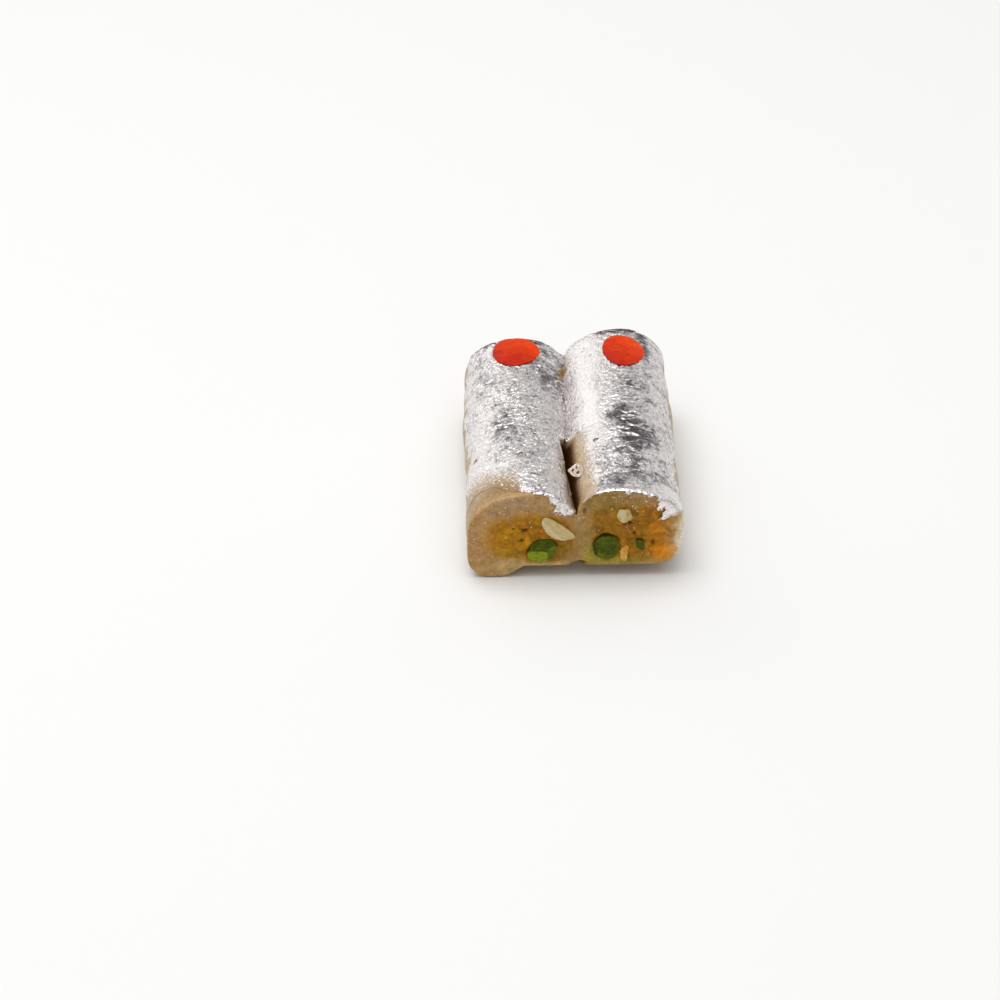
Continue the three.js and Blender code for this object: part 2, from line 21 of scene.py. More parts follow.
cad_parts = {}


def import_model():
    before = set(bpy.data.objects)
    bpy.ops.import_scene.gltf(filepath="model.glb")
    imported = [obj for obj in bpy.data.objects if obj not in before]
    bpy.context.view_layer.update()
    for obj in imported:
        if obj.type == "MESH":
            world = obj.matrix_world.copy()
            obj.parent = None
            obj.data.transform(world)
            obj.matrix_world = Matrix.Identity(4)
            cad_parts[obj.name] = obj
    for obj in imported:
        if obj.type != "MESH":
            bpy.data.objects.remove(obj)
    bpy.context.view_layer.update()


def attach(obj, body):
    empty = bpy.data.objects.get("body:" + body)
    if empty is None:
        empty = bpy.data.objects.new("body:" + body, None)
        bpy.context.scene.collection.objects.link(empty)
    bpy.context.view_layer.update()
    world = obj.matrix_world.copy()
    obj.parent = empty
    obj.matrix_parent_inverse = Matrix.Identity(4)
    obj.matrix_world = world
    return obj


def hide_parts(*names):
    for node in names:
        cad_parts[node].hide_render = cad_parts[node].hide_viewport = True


MM = 0.001
PER_MM = 1000.0
ADD, SUBTRACT, MULTIPLY, DIVIDE, MULTIPLY_ADD, MAXIMUM, ABSOLUTE, LESS_THAN = (
    f"ShaderNodeMath operation={name}"
    for name in "ADD SUBTRACT MULTIPLY DIVIDE MULTIPLY_ADD MAXIMUM ABSOLUTE LESS_THAN".split()
)
VECTOR_ADD, VECTOR_MULTIPLY, VECTOR_MULTIPLY_ADD, SCALE, DOT_PRODUCT = (
    f"ShaderNodeVectorMath operation={name}"
    for name in "ADD MULTIPLY MULTIPLY_ADD SCALE DOT_PRODUCT".split()
)
MAP_RANGE, SMOOTH_RANGE = "ShaderNodeMapRange", "ShaderNodeMapRange interpolation_type=SMOOTHSTEP"
NOISE, VORONOI, MIX = "ShaderNodeTexNoise", "ShaderNodeTexVoronoi", "ShaderNodeMix data_type=RGBA"
PLACE, ATTRIBUTE, BUMP = "ShaderNodeTexCoord", "ShaderNodeAttribute", "ShaderNodeBump"
NAMED = "GeometryNodeInputNamedAttribute data_type=FLOAT"
STORED = "GeometryNodeStoreNamedAttribute data_type=FLOAT"
RANDOM, RANDOM_VECTOR = (f"FunctionNodeRandomValue data_type={name}" for name in ("FLOAT", "FLOAT_VECTOR"))
PRINCIPLED = "ShaderNodeBsdfPrincipled"
MIX_FACTOR, MIX_A, MIX_B, MIX_RESULT = 0, 6, 7, 2
LOG = logging.getLogger("cashew_roll")

Array = np.ndarray
Numbers = Array | float
Pair = tuple[float, float]
Trio = tuple[float, float, float]
Ramp = tuple[float, float, float, float]
Layers = tuple[Pair, ...]
Sockets = bpy.types.bpy_prop_collection
Look = tuple[NodeSocket, NodeSocket | float]


class Side(Enum):
    """One of the two lobes, with the sign of its outward direction."""

    LEFT = -1
    RIGHT = 1


class End(Enum):
    """One of the two cut ends, with the sign of the direction it faces."""

    FRONT = -1
    BACK = 1


class NutKind(Enum):
    """What a piece in the filling is, as its slot in the record."""

    PISTACHIO = "pistachio"
    CASHEW = "cashew_nut"
    CRUMB = "nut_crumb"


class Hue(Enum):
    """The colours of a cut face, among them painted light and painted shade."""

    PASTE = "#b88f5a"
    RIM = "#cdb072"
    AMBER = "#b57c0c"
    SAFFRON = "#cd9204"
    ORANGE = "#ee9408"
    BURNT = "#b87418"
    OLIVE = "#8e7226"
    MOSS = "#a09428"
    ROSE = "#b98a5e"
    SEAM = "#a8864a"
    # A honey colour painted as light that shines through the paste at the right edge.
    HONEY = "#d6a35a"
    # A near-white glow painted as light that shines through the paste at the right edge.
    GLOW = "#fff0d8"
    CLAY = "#b3946c"
    # The darkest brown is painted shade, for the depths of the slit and the cut's pits.
    DARK = "#4a2c08"


def linear(colour: str) -> tuple[float, float, float, float]:
    """Turns an sRGB colour into the linear values that shaders use.

    Args:
        colour: Six hex digits after a hash sign.

    Returns:
        Red, green, blue and an alpha of 1.
    """
    shares = [int(colour[i : i + 2], 16) / 255 for i in (1, 3, 5)]
    lit = [s / 12.92 if s <= 0.04045 else ((s + 0.055) / 1.055) ** 2.4 for s in shares]
    return (lit[0], lit[1], lit[2], 1.0)


def add(
    tree: NodeTree, kind: str, inputs: dict[str | int, object] | tuple = (), out: str | int = 0,
    **settings: object,
) -> NodeSocket | None:
    """Adds a node with its settings, and sets or links its inputs.

    Args:
        tree: The tree that gets the node.
        kind: The node's type, then any settings that always go with it.
        inputs: Values or the outputs that are linked, in order or each by its name or number.
        out: The name or number of the output that is wanted.
        **settings: Properties of the node itself.

    Returns:
        That output, or None if the node has none.
    """
    node_type, *presets = kind.split()
    node = tree.nodes.new(node_type)
    for name, value in (*(preset.split("=") for preset in presets), *settings.items()):
        setattr(node, name, value)
    for name, value in inputs.items() if isinstance(inputs, dict) else enumerate(inputs):
        if isinstance(value, NodeSocket):
            tree.links.new(value, node.inputs[name])
        else:
            node.inputs[name].default_value = value
    return node.outputs[out] if node.outputs else None


def pattern(
    place: NodeSocket, size: float, detail: float = 2.0, roughness: float = 0.5, distortion: float = 0.0
) -> dict[str, object]:
    """Gives a noise node's inputs, for clouds that are that many millimetres wide."""
    names = ("Vector", "Scale", "Detail", "Roughness", "Distortion")
    return dict(zip(names, (place, PER_MM / size, detail, roughness, distortion), strict=True))


def placed(name: str, data: bpy.types.ID) -> Object:
    """Puts a new object into the scene.

    Args:
        name: Its name.
        data: Its mesh, light or camera.

    Returns:
        The object.
    """
    made = bpy.data.objects.new(name, data)
    bpy.context.scene.collection.objects.link(made)
    return made


def smoothstep(value: Numbers, start: float, stop: float) -> Numbers:
    """Eases from 0 at start to 1 at stop."""
    share = np.clip((value - start) / (stop - start), 0.0, 1.0)
    return share * share * (3.0 - 2.0 * share)


def power(value: Numbers, roundness: Numbers) -> Numbers:
    """Raises a sine or cosine for a superellipse and keeps its sign."""
    return np.sign(value) * np.abs(value) ** (2.0 / roundness)


def soft_max(a: Numbers, b: Numbers, blend: float) -> Numbers:
    """Gives the larger of two values, rounded where they cross."""
    return (a + b + np.hypot(a - b, blend)) / 2.0


def bumps(points: Array, size: float, seed: int) -> Array:
    """Smooth noise between about -1 and 1.

    Args:
        points: One row of coordinates per point.
        size: How far apart the bumps are.
        seed: Which noise it is.

    Returns:
        One value per point.
    """
    shift = Vector((17.3 * seed, 5.1 * seed, -9.7 * seed))
    rows = np.zeros((len(points), 3))
    rows[:, : points.shape[1]] = points
    return np.array([noise.noise(Vector(row) / size + shift) for row in rows])


def layered(points: Array, layers: Layers, seed: int, step: int = 1) -> Array:
    """Adds up layers of smooth noise, each with its height and the size of its bumps."""
    return sum(tall * bumps(points, size, seed + step * i) for i, (tall, size) in enumerate(layers))


def lumps(points: Array, size: float, seed: int) -> tuple[Array, Array]:
    """Breaks a surface up into crumbs.

    Args:
        points: Two coordinates per point.
        size: How far apart the crumbs are.
        seed: Which crumbs they are.

    Returns:
        How far each point is out of the crevices, and its crumb's own number, both from 0 to 1.
    """
    shift = Vector((3.7 * seed, -8.3 * seed, 1.9 * seed))
    rise, own = [], []
    for across, up in points:
        reach, middles = noise.voronoi(Vector((across, up, 0.0)) / size + shift)
        rise.append(min(2.4 * (reach[1] - reach[0]), 1.0))
        own.append(noise.cell(middles[0] * 31.0))
    return np.array(rise), np.array(own)


def evenly(line: Array, count: int) -> Array:
    """Places points at equal steps along a line.

    Args:
        line: One row per point: three coordinates, then any values that go with them.
        count: How many points are wanted, both ends among them.

    Returns:
        One row per new point, with the same columns.
    """
    steps = np.linalg.norm(np.diff(line[:, :3], axis=0), axis=1)
    lengths = np.concatenate([[0.0], np.cumsum(steps)])
    wanted = np.linspace(0.0, lengths[-1], count)
    return np.column_stack([np.interp(wanted, lengths, column) for column in line.T])


def at_station(x: Array, y: float, z: Array) -> Array:
    """Gives a flat line its place along the roll."""
    return np.column_stack([x, np.full_like(x, y), z])


def inside(points: Array, ring: Array) -> Array:
    """Tells which flat points lie inside a closed ring.

    Args:
        points: Two coordinates per point.
        ring: The ring's corners in order.

    Returns:
        True or False per point.
    """
    across, up = points[:, 0, None], points[:, 1, None]
    here, then = ring, np.roll(ring, -1, axis=0)
    spans = (here[:, 1] > up) != (then[:, 1] > up)
    rise = then[:, 1] - here[:, 1]
    rise = np.where(rise == 0.0, 1e-12, rise)
    meets = here[:, 0] + (then[:, 0] - here[:, 0]) * (up - here[:, 1]) / rise
    return (spans & (across < meets)).sum(axis=1) % 2 == 1


@dataclass(frozen=True)
class LobeSizes:
    """A lobe's section: the places where its four quarters meet, and how square each is."""

    crown_x: Numbers
    crown_z: Numbers
    wall_x: Numbers
    wall_z: Numbers
    heel_x: Numbers
    inner_reach: Numbers
    shoulder: Numbers
    inner: Numbers
    heel: Numbers

    def mixed(self, other: "LobeSizes", share: Numbers) -> "LobeSizes":
        """Gives the sizes that share of the way from these to the other's."""
        pairs = zip(astuple(self), astuple(other), strict=True)
        return LobeSizes(*(mine + (theirs - mine) * share for mine, theirs in pairs))


@dataclass(frozen=True)
class RollForm:
    """The form of the paste, as in the CAD: two lobes that meet in a slit and then a groove."""

    front: float = -32.55
    length: float = 65.6
    left_front: LobeSizes = LobeSizes(-9.8, 21.9, -23.9, 11, -16.5, 11, 2.1, 2.3, 3.4)
    left_back: LobeSizes = LobeSizes(-11, 21.4, -23.4, 10.5, -15.5, 12.2, 2.1, 2.1, 2.8)
    right_front: LobeSizes = LobeSizes(9.6, 22.6, 23.8, 13, 16, 9.7, 2.05, 2.7, 3)
    right_back: LobeSizes = LobeSizes(12.4, 23.8, 23.5, 12, 15.5, 14.4, 2.1, 2, 2.8)
    crown_change: float = 30.0
    bulge_depth: float = 0.5
    bulge_y: float = 8.0
    bulge_length: float = 11.0
    seam_middle: float = 0.3
    seam_bow: float = 1.6
    groove_floor: float = 16.8
    groove_blend: float = 1.2
    nearest_lip: float = 0.985
    slit_length: float = 28.0
    slit_half_width: float = 1.25
    slit_depth: float = 5.4
    slit_closing: float = 0.92
    slit_bevel: float = 1.35
    bevel_start: float = 0.12
    bevel_fade: float = 0.35
    least_half_width: float = 0.25
    least_depth: float = 0.6
    flap_edge_x: float = -11.4
    flap_curl: float = 6.2
    arch_height: float = 2.9
    arch_length: float = 15.0
    crease_height: float = 1.1
    crease_half_width: float = 1.5
    uneven_heights: Pair = (0.182, 0.098)
    far_round: float = 1.3
    table_fade: Pair = (0.4, 3.0)
    normal_step: float = 1.5

    @property
    def back(self) -> float:
        """Where the far cut end is."""
        return self.front + self.length

    def along(self, y: Numbers) -> Numbers:
        """How far along the roll a station is, from 0 to 1."""
        return np.clip((y - self.front) / self.length, 0.0, 1.0)

    def seam_x(self, y: Numbers) -> Numbers:
        """Where the two lobes meet."""
        return self.seam_middle - self.seam_bow * np.sin(np.pi * self.along(y))

    def slit(self, y: Numbers) -> tuple[Numbers, Numbers]:
        """Sizes the slit between the lobes.

        Args:
            y: The station.

        Returns:
            Its half width and its depth.
        """
        share = np.clip((y - self.front) / self.slit_length, 0.0, 1.0)
        gape = share * (1.0 - smoothstep(share, self.slit_closing, 1.0))
        half = self.least_half_width + self.slit_half_width * gape
        return half, self.least_depth + self.slit_depth * np.sqrt(gape)

    def lip(self, side: Side, y: Numbers, inset: float = 0.0) -> Numbers:
        """Finds where a lobe's surface comes to the slit, whose right wall is bevelled.

        Args:
            side: The lobe.
            y: The station.
            inset: How far short of the slit it stops.

        Returns:
            The angle.
        """
        half, _ = self.slit(y)
        if side is Side.RIGHT:
            share = np.clip((y - self.front) / self.slit_length, 0.0, 1.0)
            open_here = smoothstep(share, 0.0, self.bevel_start)
            open_here *= 1.0 - smoothstep(share, self.slit_closing, 1.0)
            half = half + self.slit_bevel * (1.0 - self.bevel_fade * share) * open_here
        return self.seam_angle(side, y, half + inset)

    def underside(self, x: Numbers, y: Numbers) -> Numbers:
        """Finds how high the underside stands off the table.

        Args:
            x: The place across.
            y: The station.

        Returns:
            The height.
        """
        arch = self.arch_height * (1.0 - smoothstep(y, self.front, self.front + self.arch_length))
        past = np.clip((x - self.flap_edge_x) / self.flap_curl + 1.0, 0.0, 1.0) ** 2
        from_crease = (x - self.seam_x(y)) / self.crease_half_width
        return arch * past + self.crease_height * np.exp(-from_crease * from_crease)

    def uneven(self, x: Numbers, y: Numbers, z: Numbers) -> Numbers:
        """The hand-made swell of the surface."""
        long_swell = np.sin(0.21 * y + 0.35 * x + 0.9) * np.cos(0.16 * z + 0.11 * x)
        short_swell = np.sin(0.52 * y - 0.41 * x + 0.3 * z + 2.1)
        return self.uneven_heights[0] * long_swell + self.uneven_heights[1] * short_swell

    def end_inset(self, y: Numbers) -> Numbers:
        """How far a section shrinks where the far end's edge is rounded."""
        reach = np.clip(self.far_round - (self.back - y), 0.0, self.far_round)
        return self.far_round - np.sqrt(self.far_round**2 - reach**2)

    def lobe(self, side: Side, y: Numbers) -> LobeSizes:
        """Sizes a lobe at a station.

        Args:
            side: The lobe.
            y: The station.

        Returns:
            Its sizes there.
        """
        share = smoothstep(y, self.front, self.front + self.crown_change)
        first, last = (
            (self.left_front, self.left_back)
            if side is Side.LEFT
            else (self.right_front, self.right_back)
        )
        from_bulge = (y - self.bulge_y) / self.bulge_length
        bulge = side.value * self.bulge_depth * np.exp(-from_bulge * from_bulge)
        sizes = first.mixed(last, share)
        return LobeSizes(sizes.crown_x, sizes.crown_z, sizes.wall_x + bulge, *astuple(sizes)[3:])

    def section(self, side: Side, y: Numbers, angle: Numbers) -> tuple[Numbers, Numbers]:
        """A point of a lobe's plain section.

        Args:
            side: The lobe.
            y: The station.
            angle: Degrees: -90 is the heel, 0 the wall, 90 the crown, and more is inwards.

        Returns:
            Its x and z.
        """
        lobe = self.lobe(side, y)
        cosine, sine = np.cos(np.radians(angle)), np.sin(np.radians(angle))
        heel_z = self.underside(lobe.heel_x, y)
        rise = lobe.crown_z - lobe.wall_z
        low_x = lobe.heel_x + (lobe.wall_x - lobe.heel_x) * power(cosine, lobe.heel)
        low_z = lobe.wall_z + (lobe.wall_z - heel_z) * power(sine, lobe.heel)
        outer_x = lobe.crown_x + (lobe.wall_x - lobe.crown_x) * power(cosine, lobe.shoulder)
        outer_z = lobe.wall_z + rise * power(sine, lobe.shoulder)
        inner_x = lobe.crown_x + side.value * lobe.inner_reach * power(cosine, lobe.inner)
        inner_z = lobe.wall_z + rise * power(sine, lobe.inner)
        lifted = soft_max(lobe.crown_z, self.groove_floor, self.groove_blend) - lobe.crown_z
        inner_z = soft_max(inner_z, self.groove_floor, self.groove_blend) - lifted
        inwards = angle > 90
        x = np.where(angle < 0, low_x, np.where(inwards, inner_x, outer_x))
        z = np.where(angle < 0, low_z, np.where(inwards, inner_z, outer_z))
        return x, z

    def surface(self, side: Side, y: Numbers, angle: Numbers, out: Numbers = 0.0) -> Array:
        """Points of a lobe's surface.

        Args:
            side: The lobe.
            y: The station of each point.
            angle: The angle of each point round the section.
            out: How far each is moved out along the section's normal.

        Returns:
            Three coordinates per point.
        """
        x, z = self.section(side, y, angle)
        x_before, z_before = self.section(side, y, angle - self.normal_step)
        x_after, z_after = self.section(side, y, angle + self.normal_step)
        run = np.hypot(x_after - x_before, z_after - z_before)
        normal_x = side.value * (z_after - z_before) / run
        normal_z = -side.value * (x_after - x_before) / run
        swell = self.uneven(x, y, z) - self.end_inset(y)
        push = out + swell * smoothstep(z, *self.table_fade)
        return np.stack(np.broadcast_arrays(x + normal_x * push, y, z + normal_z * push), axis=-1)

    def seam_angle(self, side: Side, y: Numbers, from_seam: Numbers) -> Numbers:
        """Finds where a lobe's inner quarter comes to a distance from the seam.

        Args:
            side: The lobe.
            y: The station.
            from_seam: The distance.

        Returns:
            The angle.
        """
        lobe = self.lobe(side, y)
        reach = np.abs(self.seam_x(y) + side.value * from_seam - lobe.crown_x) / lobe.inner_reach
        share = np.minimum(reach ** (lobe.inner / 2.0), self.nearest_lip)
        return 180.0 - np.degrees(np.arccos(share))

    def angle_above(self, side: Side, x: Numbers, y: Numbers) -> Numbers:
        """Finds a lobe's surface above a place on the table.

        Args:
            side: The lobe.
            x: The place across.
            y: The station.

        Returns:
            The angle.
        """
        lobe = self.lobe(side, y)
        outwards = side.value * (x - lobe.crown_x) > 0
        reach = np.where(outwards, np.abs(lobe.wall_x - lobe.crown_x), lobe.inner_reach)
        roundness = np.where(outwards, lobe.shoulder, lobe.inner)
        share = np.minimum(np.abs(x - lobe.crown_x) / reach, 0.999)
        from_wall = np.degrees(np.arccos(share ** (roundness / 2.0)))
        return np.where(outwards, from_wall, 180.0 - from_wall)


@dataclass(frozen=True)
class FillingForm:
    """A filling's section, a superellipse that changes from the shown end to the far end."""

    side: Side
    x: Pair
    z: Pair
    half_wide: Pair
    half_high: Pair
    square: float
    wave: float = 0.35
    twist: Pair = (0.23, 0.17)

    def sizes(self, share: Numbers) -> tuple[Numbers, Numbers, Numbers, Numbers]:
        """Gives the middle's x and z and the half width and height that share of the way."""
        pairs = (self.x, self.z, self.half_wide, self.half_high)
        return tuple(first + (last - first) * share for first, last in pairs)

    def outline(self, y: float, share: float, count: int, shrink: float = 0.0) -> Array:
        """A closed outline at a station.

        Args:
            y: The station.
            share: How far along the roll it is.
            count: How many points it has.
            shrink: How far it lies inside the true one.

        Returns:
            Three coordinates per point.
        """
        x, z, wide, high = self.sizes(share)
        turn = np.linspace(0.0, 2.0 * np.pi, 8 * count)
        waves = np.sin(3 * turn + self.twist[0] * y) * np.sin(2 * turn - self.twist[1] * y)
        grow = self.wave * waves - shrink
        across = x + (wide + grow) * power(np.cos(turn), self.square)
        up = z + (high + grow) * power(np.sin(turn), self.square)
        return evenly(at_station(across, y, up), count + 1)[:-1]

    def depth(self, x: Array, z: Array, share: Numbers) -> Array:
        """Finds about how far inside the filling each place is.

        Args:
            x: Each place across.
            z: Its height.
            share: How far along the roll it is.

        Returns:
            The depths, below 0 outside.
        """
        middle_x, middle_z, wide, high = self.sizes(share)
        across, up = (x - middle_x) / wide, (z - middle_z) / high
        reach = (np.abs(across) ** self.square + np.abs(up) ** self.square) ** (1.0 / self.square)
        return (1.0 - reach) * np.minimum(wide, high)


@dataclass(frozen=True)
class Spot:
    """A soft oval spot of a surface: its middle, its reach each way and its strength."""

    x: float
    y: float
    reach_x: float
    reach_y: float
    strength: float = 1.0
    falloff: float = 1.5

    def at(self, x: Array, y: Array) -> Array:
        """How strong it is at each place."""
        across, up = (x - self.x) / self.reach_x, (y - self.y) / self.reach_y
        return self.strength * np.exp(-((across**2 + up**2) ** self.falloff))


Spots = tuple[Spot, ...]


def spots(*rows: tuple[float, ...]) -> Spots:
    """Makes a spot of each row of numbers."""
    return tuple(Spot(*row) for row in rows)


Tints = tuple[tuple[Hue, Spot], ...]


def tints(*rows: tuple[Hue | float, ...]) -> Tints:
    """Makes spots of other colours, of rows of a hue and a spot's numbers."""
    return tuple((hue, Spot(*spot)) for hue, *spot in rows)


@dataclass(frozen=True)
class NutPiece:
    """A nut piece that a cut end runs through, seated in the filling.

    Facets are the planes where it was cut or broken: how far each leans across and up, where
    it stands, and how light its colour is. Its bow is how far its two ends curl up.
    """

    name: str
    kind: NutKind
    end: End
    x: float
    z: float
    wide: float
    high: float
    deep: float
    turn: float
    bow: float = 0.0
    facets: tuple[tuple[float, float, float, float], ...] = ((0.04, -0.05, 0.14, 0.5),)
    fineness: int = 4
    knobs: float = 0.1
    knob_layers: Layers = ((1.0, 0.7), (0.3, 0.25))
    point: float = 0.1
    rough: float = 0.12
    rough_layers: Layers = ((1.0, 1.1), (0.6, 0.45))
    rough_dark: float = 1.6
    skin_tone: float = 0.05
    pocket: float = 0.4

    @property
    def spin(self) -> complex:
        """Its turn, as a number that turns x + iz when it multiplies it."""
        return complex(math.cos(math.radians(self.turn)), math.sin(math.radians(self.turn)))

    def outline_at(self, share: Array) -> tuple[Array, Array]:
        """How high the piece is across its length, and how far its middle is lifted there."""
        if self.kind is not NutKind.CASHEW:
            return np.ones_like(share), np.zeros_like(share)
        return 1.0 - self.point * share**2, self.bow * self.high * (share**2 - 0.5)

    def reach(self, x: Array, z: Array) -> Array:
        """Finds how far out from the piece's middle each place is.

        Args:
            x: Each place across.
            z: Its height.

        Returns:
            1 at its edge, and more outside.
        """
        own = ((x - self.x) + 1j * (z - self.z)) / self.spin
        share = own.real / (self.wide / 2)
        pointed, lifted = self.outline_at(np.clip(share, -1, 1))
        return np.hypot(share, (own.imag - lifted) / (self.high / 2 * pointed))

    def build(self, form: RollForm, material: Material) -> Object:
        """Makes the piece: a knobbly ellipsoid with flat facets where the knife went.

        Args:
            form: The roll that it sits in.
            material: Its finish.

        Returns:
            The finished object.
        """
        ball = bmesh.new()
        bmesh.ops.create_icosphere(ball, subdivisions=self.fineness, radius=1.0)
        unit = np.array([v.co[:] for v in ball.verts])
        faces = [[v.index for v in f.verts] for f in ball.faces]
        ball.free()
        seed = 1 + sum(map(ord, self.name)) % 97
        knobs = 1.0 + self.knobs * layered(unit, self.knob_layers, seed, 0)
        pointed, lifted = self.outline_at(unit[:, 0])
        across = unit[:, 0] * self.wide / 2 * knobs
        up = unit[:, 2] * self.high / 2 * knobs * pointed + lifted
        out = -unit[:, 1] * self.deep * knobs
        tone = np.full(len(unit), self.skin_tone)
        flat = np.column_stack([across, up])
        grain = self.rough * layered(flat, self.rough_layers, seed, 0)
        for lean_x, lean_z, stands, lightness in self.facets:
            cut = lean_x * across + lean_z * up + stands + grain * (self.rough_dark - lightness)
            tone = np.where(out > cut, lightness, tone)
            out = np.minimum(out, cut)
        face_y = form.front if self.end is End.FRONT else form.back
        flat = (across + 1j * up) * self.spin
        points = np.column_stack([self.x + flat.real, face_y + self.end.value * out, self.z + flat.imag])
        stitches = Stitches()
        stitches.faces_on(stitches.points_in(points), faces)
        return stitches.to_object(f"{self.name}_piece", material, {"tone": tone})


class Stitches:
    """Collects the corners and faces of one closed mesh."""

    def __init__(self) -> None:
        """Starts empty."""
        self.points: list[Array] = []
        self.faces: list[list[int]] = []
        self.count = 0

    def points_in(self, points: Array) -> Array:
        """Takes points in.

        Args:
            points: Their coordinates, in any shape with three in the last direction.

        Returns:
            Their numbers, in the same shape.
        """
        rows = points.reshape(-1, 3)
        numbers = self.count + np.arange(len(rows))
        self.points.append(rows)
        self.count += len(rows)
        return numbers.reshape(points.shape[:-1])

    def faces_on(self, numbers: Array, faces: list[list[int]]) -> None:
        """Takes faces in that name their corners by place in numbers."""
        self.faces += [[int(numbers[corner]) for corner in face] for face in faces]

    def grid_on(self, numbers: Array, closed: bool) -> None:
        """Fills a grid of corners with quads.

        Args:
            numbers: The corners' numbers, row by row.
            closed: Whether each row's last corner joins its first.
        """
        grid = np.column_stack([numbers, numbers[:, 0]]) if closed else numbers
        quads = np.stack([grid[:-1, :-1], grid[:-1, 1:], grid[1:, 1:], grid[1:, :-1]], axis=-1)
        self.faces += quads.reshape(-1, 4).tolist()

    def sheet_on(self, loops: list[Array], inner: Array, faces: list[list[int]], drop: Array) -> None:
        """Adds a thin closed sheet.

        Args:
            loops: The corners of its outline, then of each hole.
            inner: Corners inside it.
            faces: Faces on the loops' corners and then the inner ones.
            drop: The way from its upper face to its lower one.
        """
        points = np.concatenate([*loops, inner])
        upper, lower = self.points_in(points), self.points_in(points + drop)
        self.faces_on(upper, faces)
        self.faces_on(lower, faces)
        start = 0
        for loop in loops:
            stop = start + len(loop)
            self.grid_on(np.stack([upper[start:stop], lower[start:stop]]), closed=True)
            start = stop

    def to_object(
        self, name: str, material: Material, values: dict[str, Array], sharp_degrees: float = 40.0,
        closed: bool = True,
    ) -> Object:
        """Makes the object.

        Args:
            name: The object's name.
            material: Its finish.
            values: For each attribute, one number or one colour per corner.
            sharp_degrees: Edges that bend more than this stay sharp.
            closed: Whether the mesh is a closed body, whose faces are turned outwards.

        Returns:
            The object, in metres.
        """
        mesh = bpy.data.meshes.new(name)
        mesh.from_pydata((np.concatenate(self.points) * MM).tolist(), [], self.faces)
        for key, numbers in values.items():
            kind, field_name = ("FLOAT", "value") if numbers.ndim == 1 else ("FLOAT_COLOR", "color")
            stored = mesh.attributes.new(key, kind, "POINT")
            stored.data.foreach_set(field_name, numbers.astype(np.float32).ravel())
        if closed:
            body = bmesh.new()
            body.from_mesh(mesh)
            bmesh.ops.recalc_face_normals(body, faces=body.faces)
            body.to_mesh(mesh)
            body.free()
        mesh.shade_smooth()
        mesh.set_sharp_from_angle(angle=math.radians(sharp_degrees))
        mesh.materials.append(material)
        return placed(name, mesh)


def filled_ring(
    ring: Array, holes: list[Array], spacing: float, seed: int
) -> tuple[Array, list[list[int]]]:
    """Covers a flat region with small triangles.

    Args:
        ring: The x and z of its outline.
        holes: The x and z of each hole's outline.
        spacing: How far apart the points inside are.
        seed: For the scatter of the points.

    Returns:
        The points inside, and triangles that count the ring first, then the holes, then them.
    """
    rng = np.random.default_rng(seed)
    low, high = ring.min(axis=0), ring.max(axis=0)
    rows = np.arange(low[1], high[1], spacing * 0.87)
    columns = np.arange(low[0], high[0], spacing)
    grid = np.stack(np.meshgrid(columns, rows), axis=-1)
    grid[1::2, :, 0] += spacing / 2
    spots = grid.reshape(-1, 2) + rng.uniform(-0.18, 0.18, (grid.size // 2, 2)) * spacing
    spots = spots[inside(spots, ring)]
    for hole in holes:
        spots = spots[~inside(spots, hole)]
    border = np.concatenate([ring, *holes])
    nearest = np.concatenate(
        [
            np.linalg.norm(part[:, None] - border[None], axis=-1).min(axis=1)
            for part in np.array_split(spots, 16)
        ]
    )
    spots = spots[nearest > 0.55 * spacing]
    edges, start = [], 0
    for loop in [ring, *holes]:
        count = len(loop)
        edges += [(start + i, start + (i + 1) % count) for i in range(count)]
        start += count
    corners = [Vector(place) for place in np.concatenate([border, spots])]
    made = delaunay_2d_cdt(corners, edges, [], 0, 1e-7, True)
    origin = [entry[0] if entry else -1 for entry in made[3]]
    triangles = np.array([[origin[corner] for corner in face] for face in made[2]])
    triangles = triangles[(triangles >= 0).all(axis=1)]
    flat = np.concatenate([border, spots])
    centres = flat[triangles].mean(axis=1)
    kept = inside(centres, ring)
    for hole in holes:
        kept &= ~inside(centres, hole)
    return spots, triangles[kept].tolist()


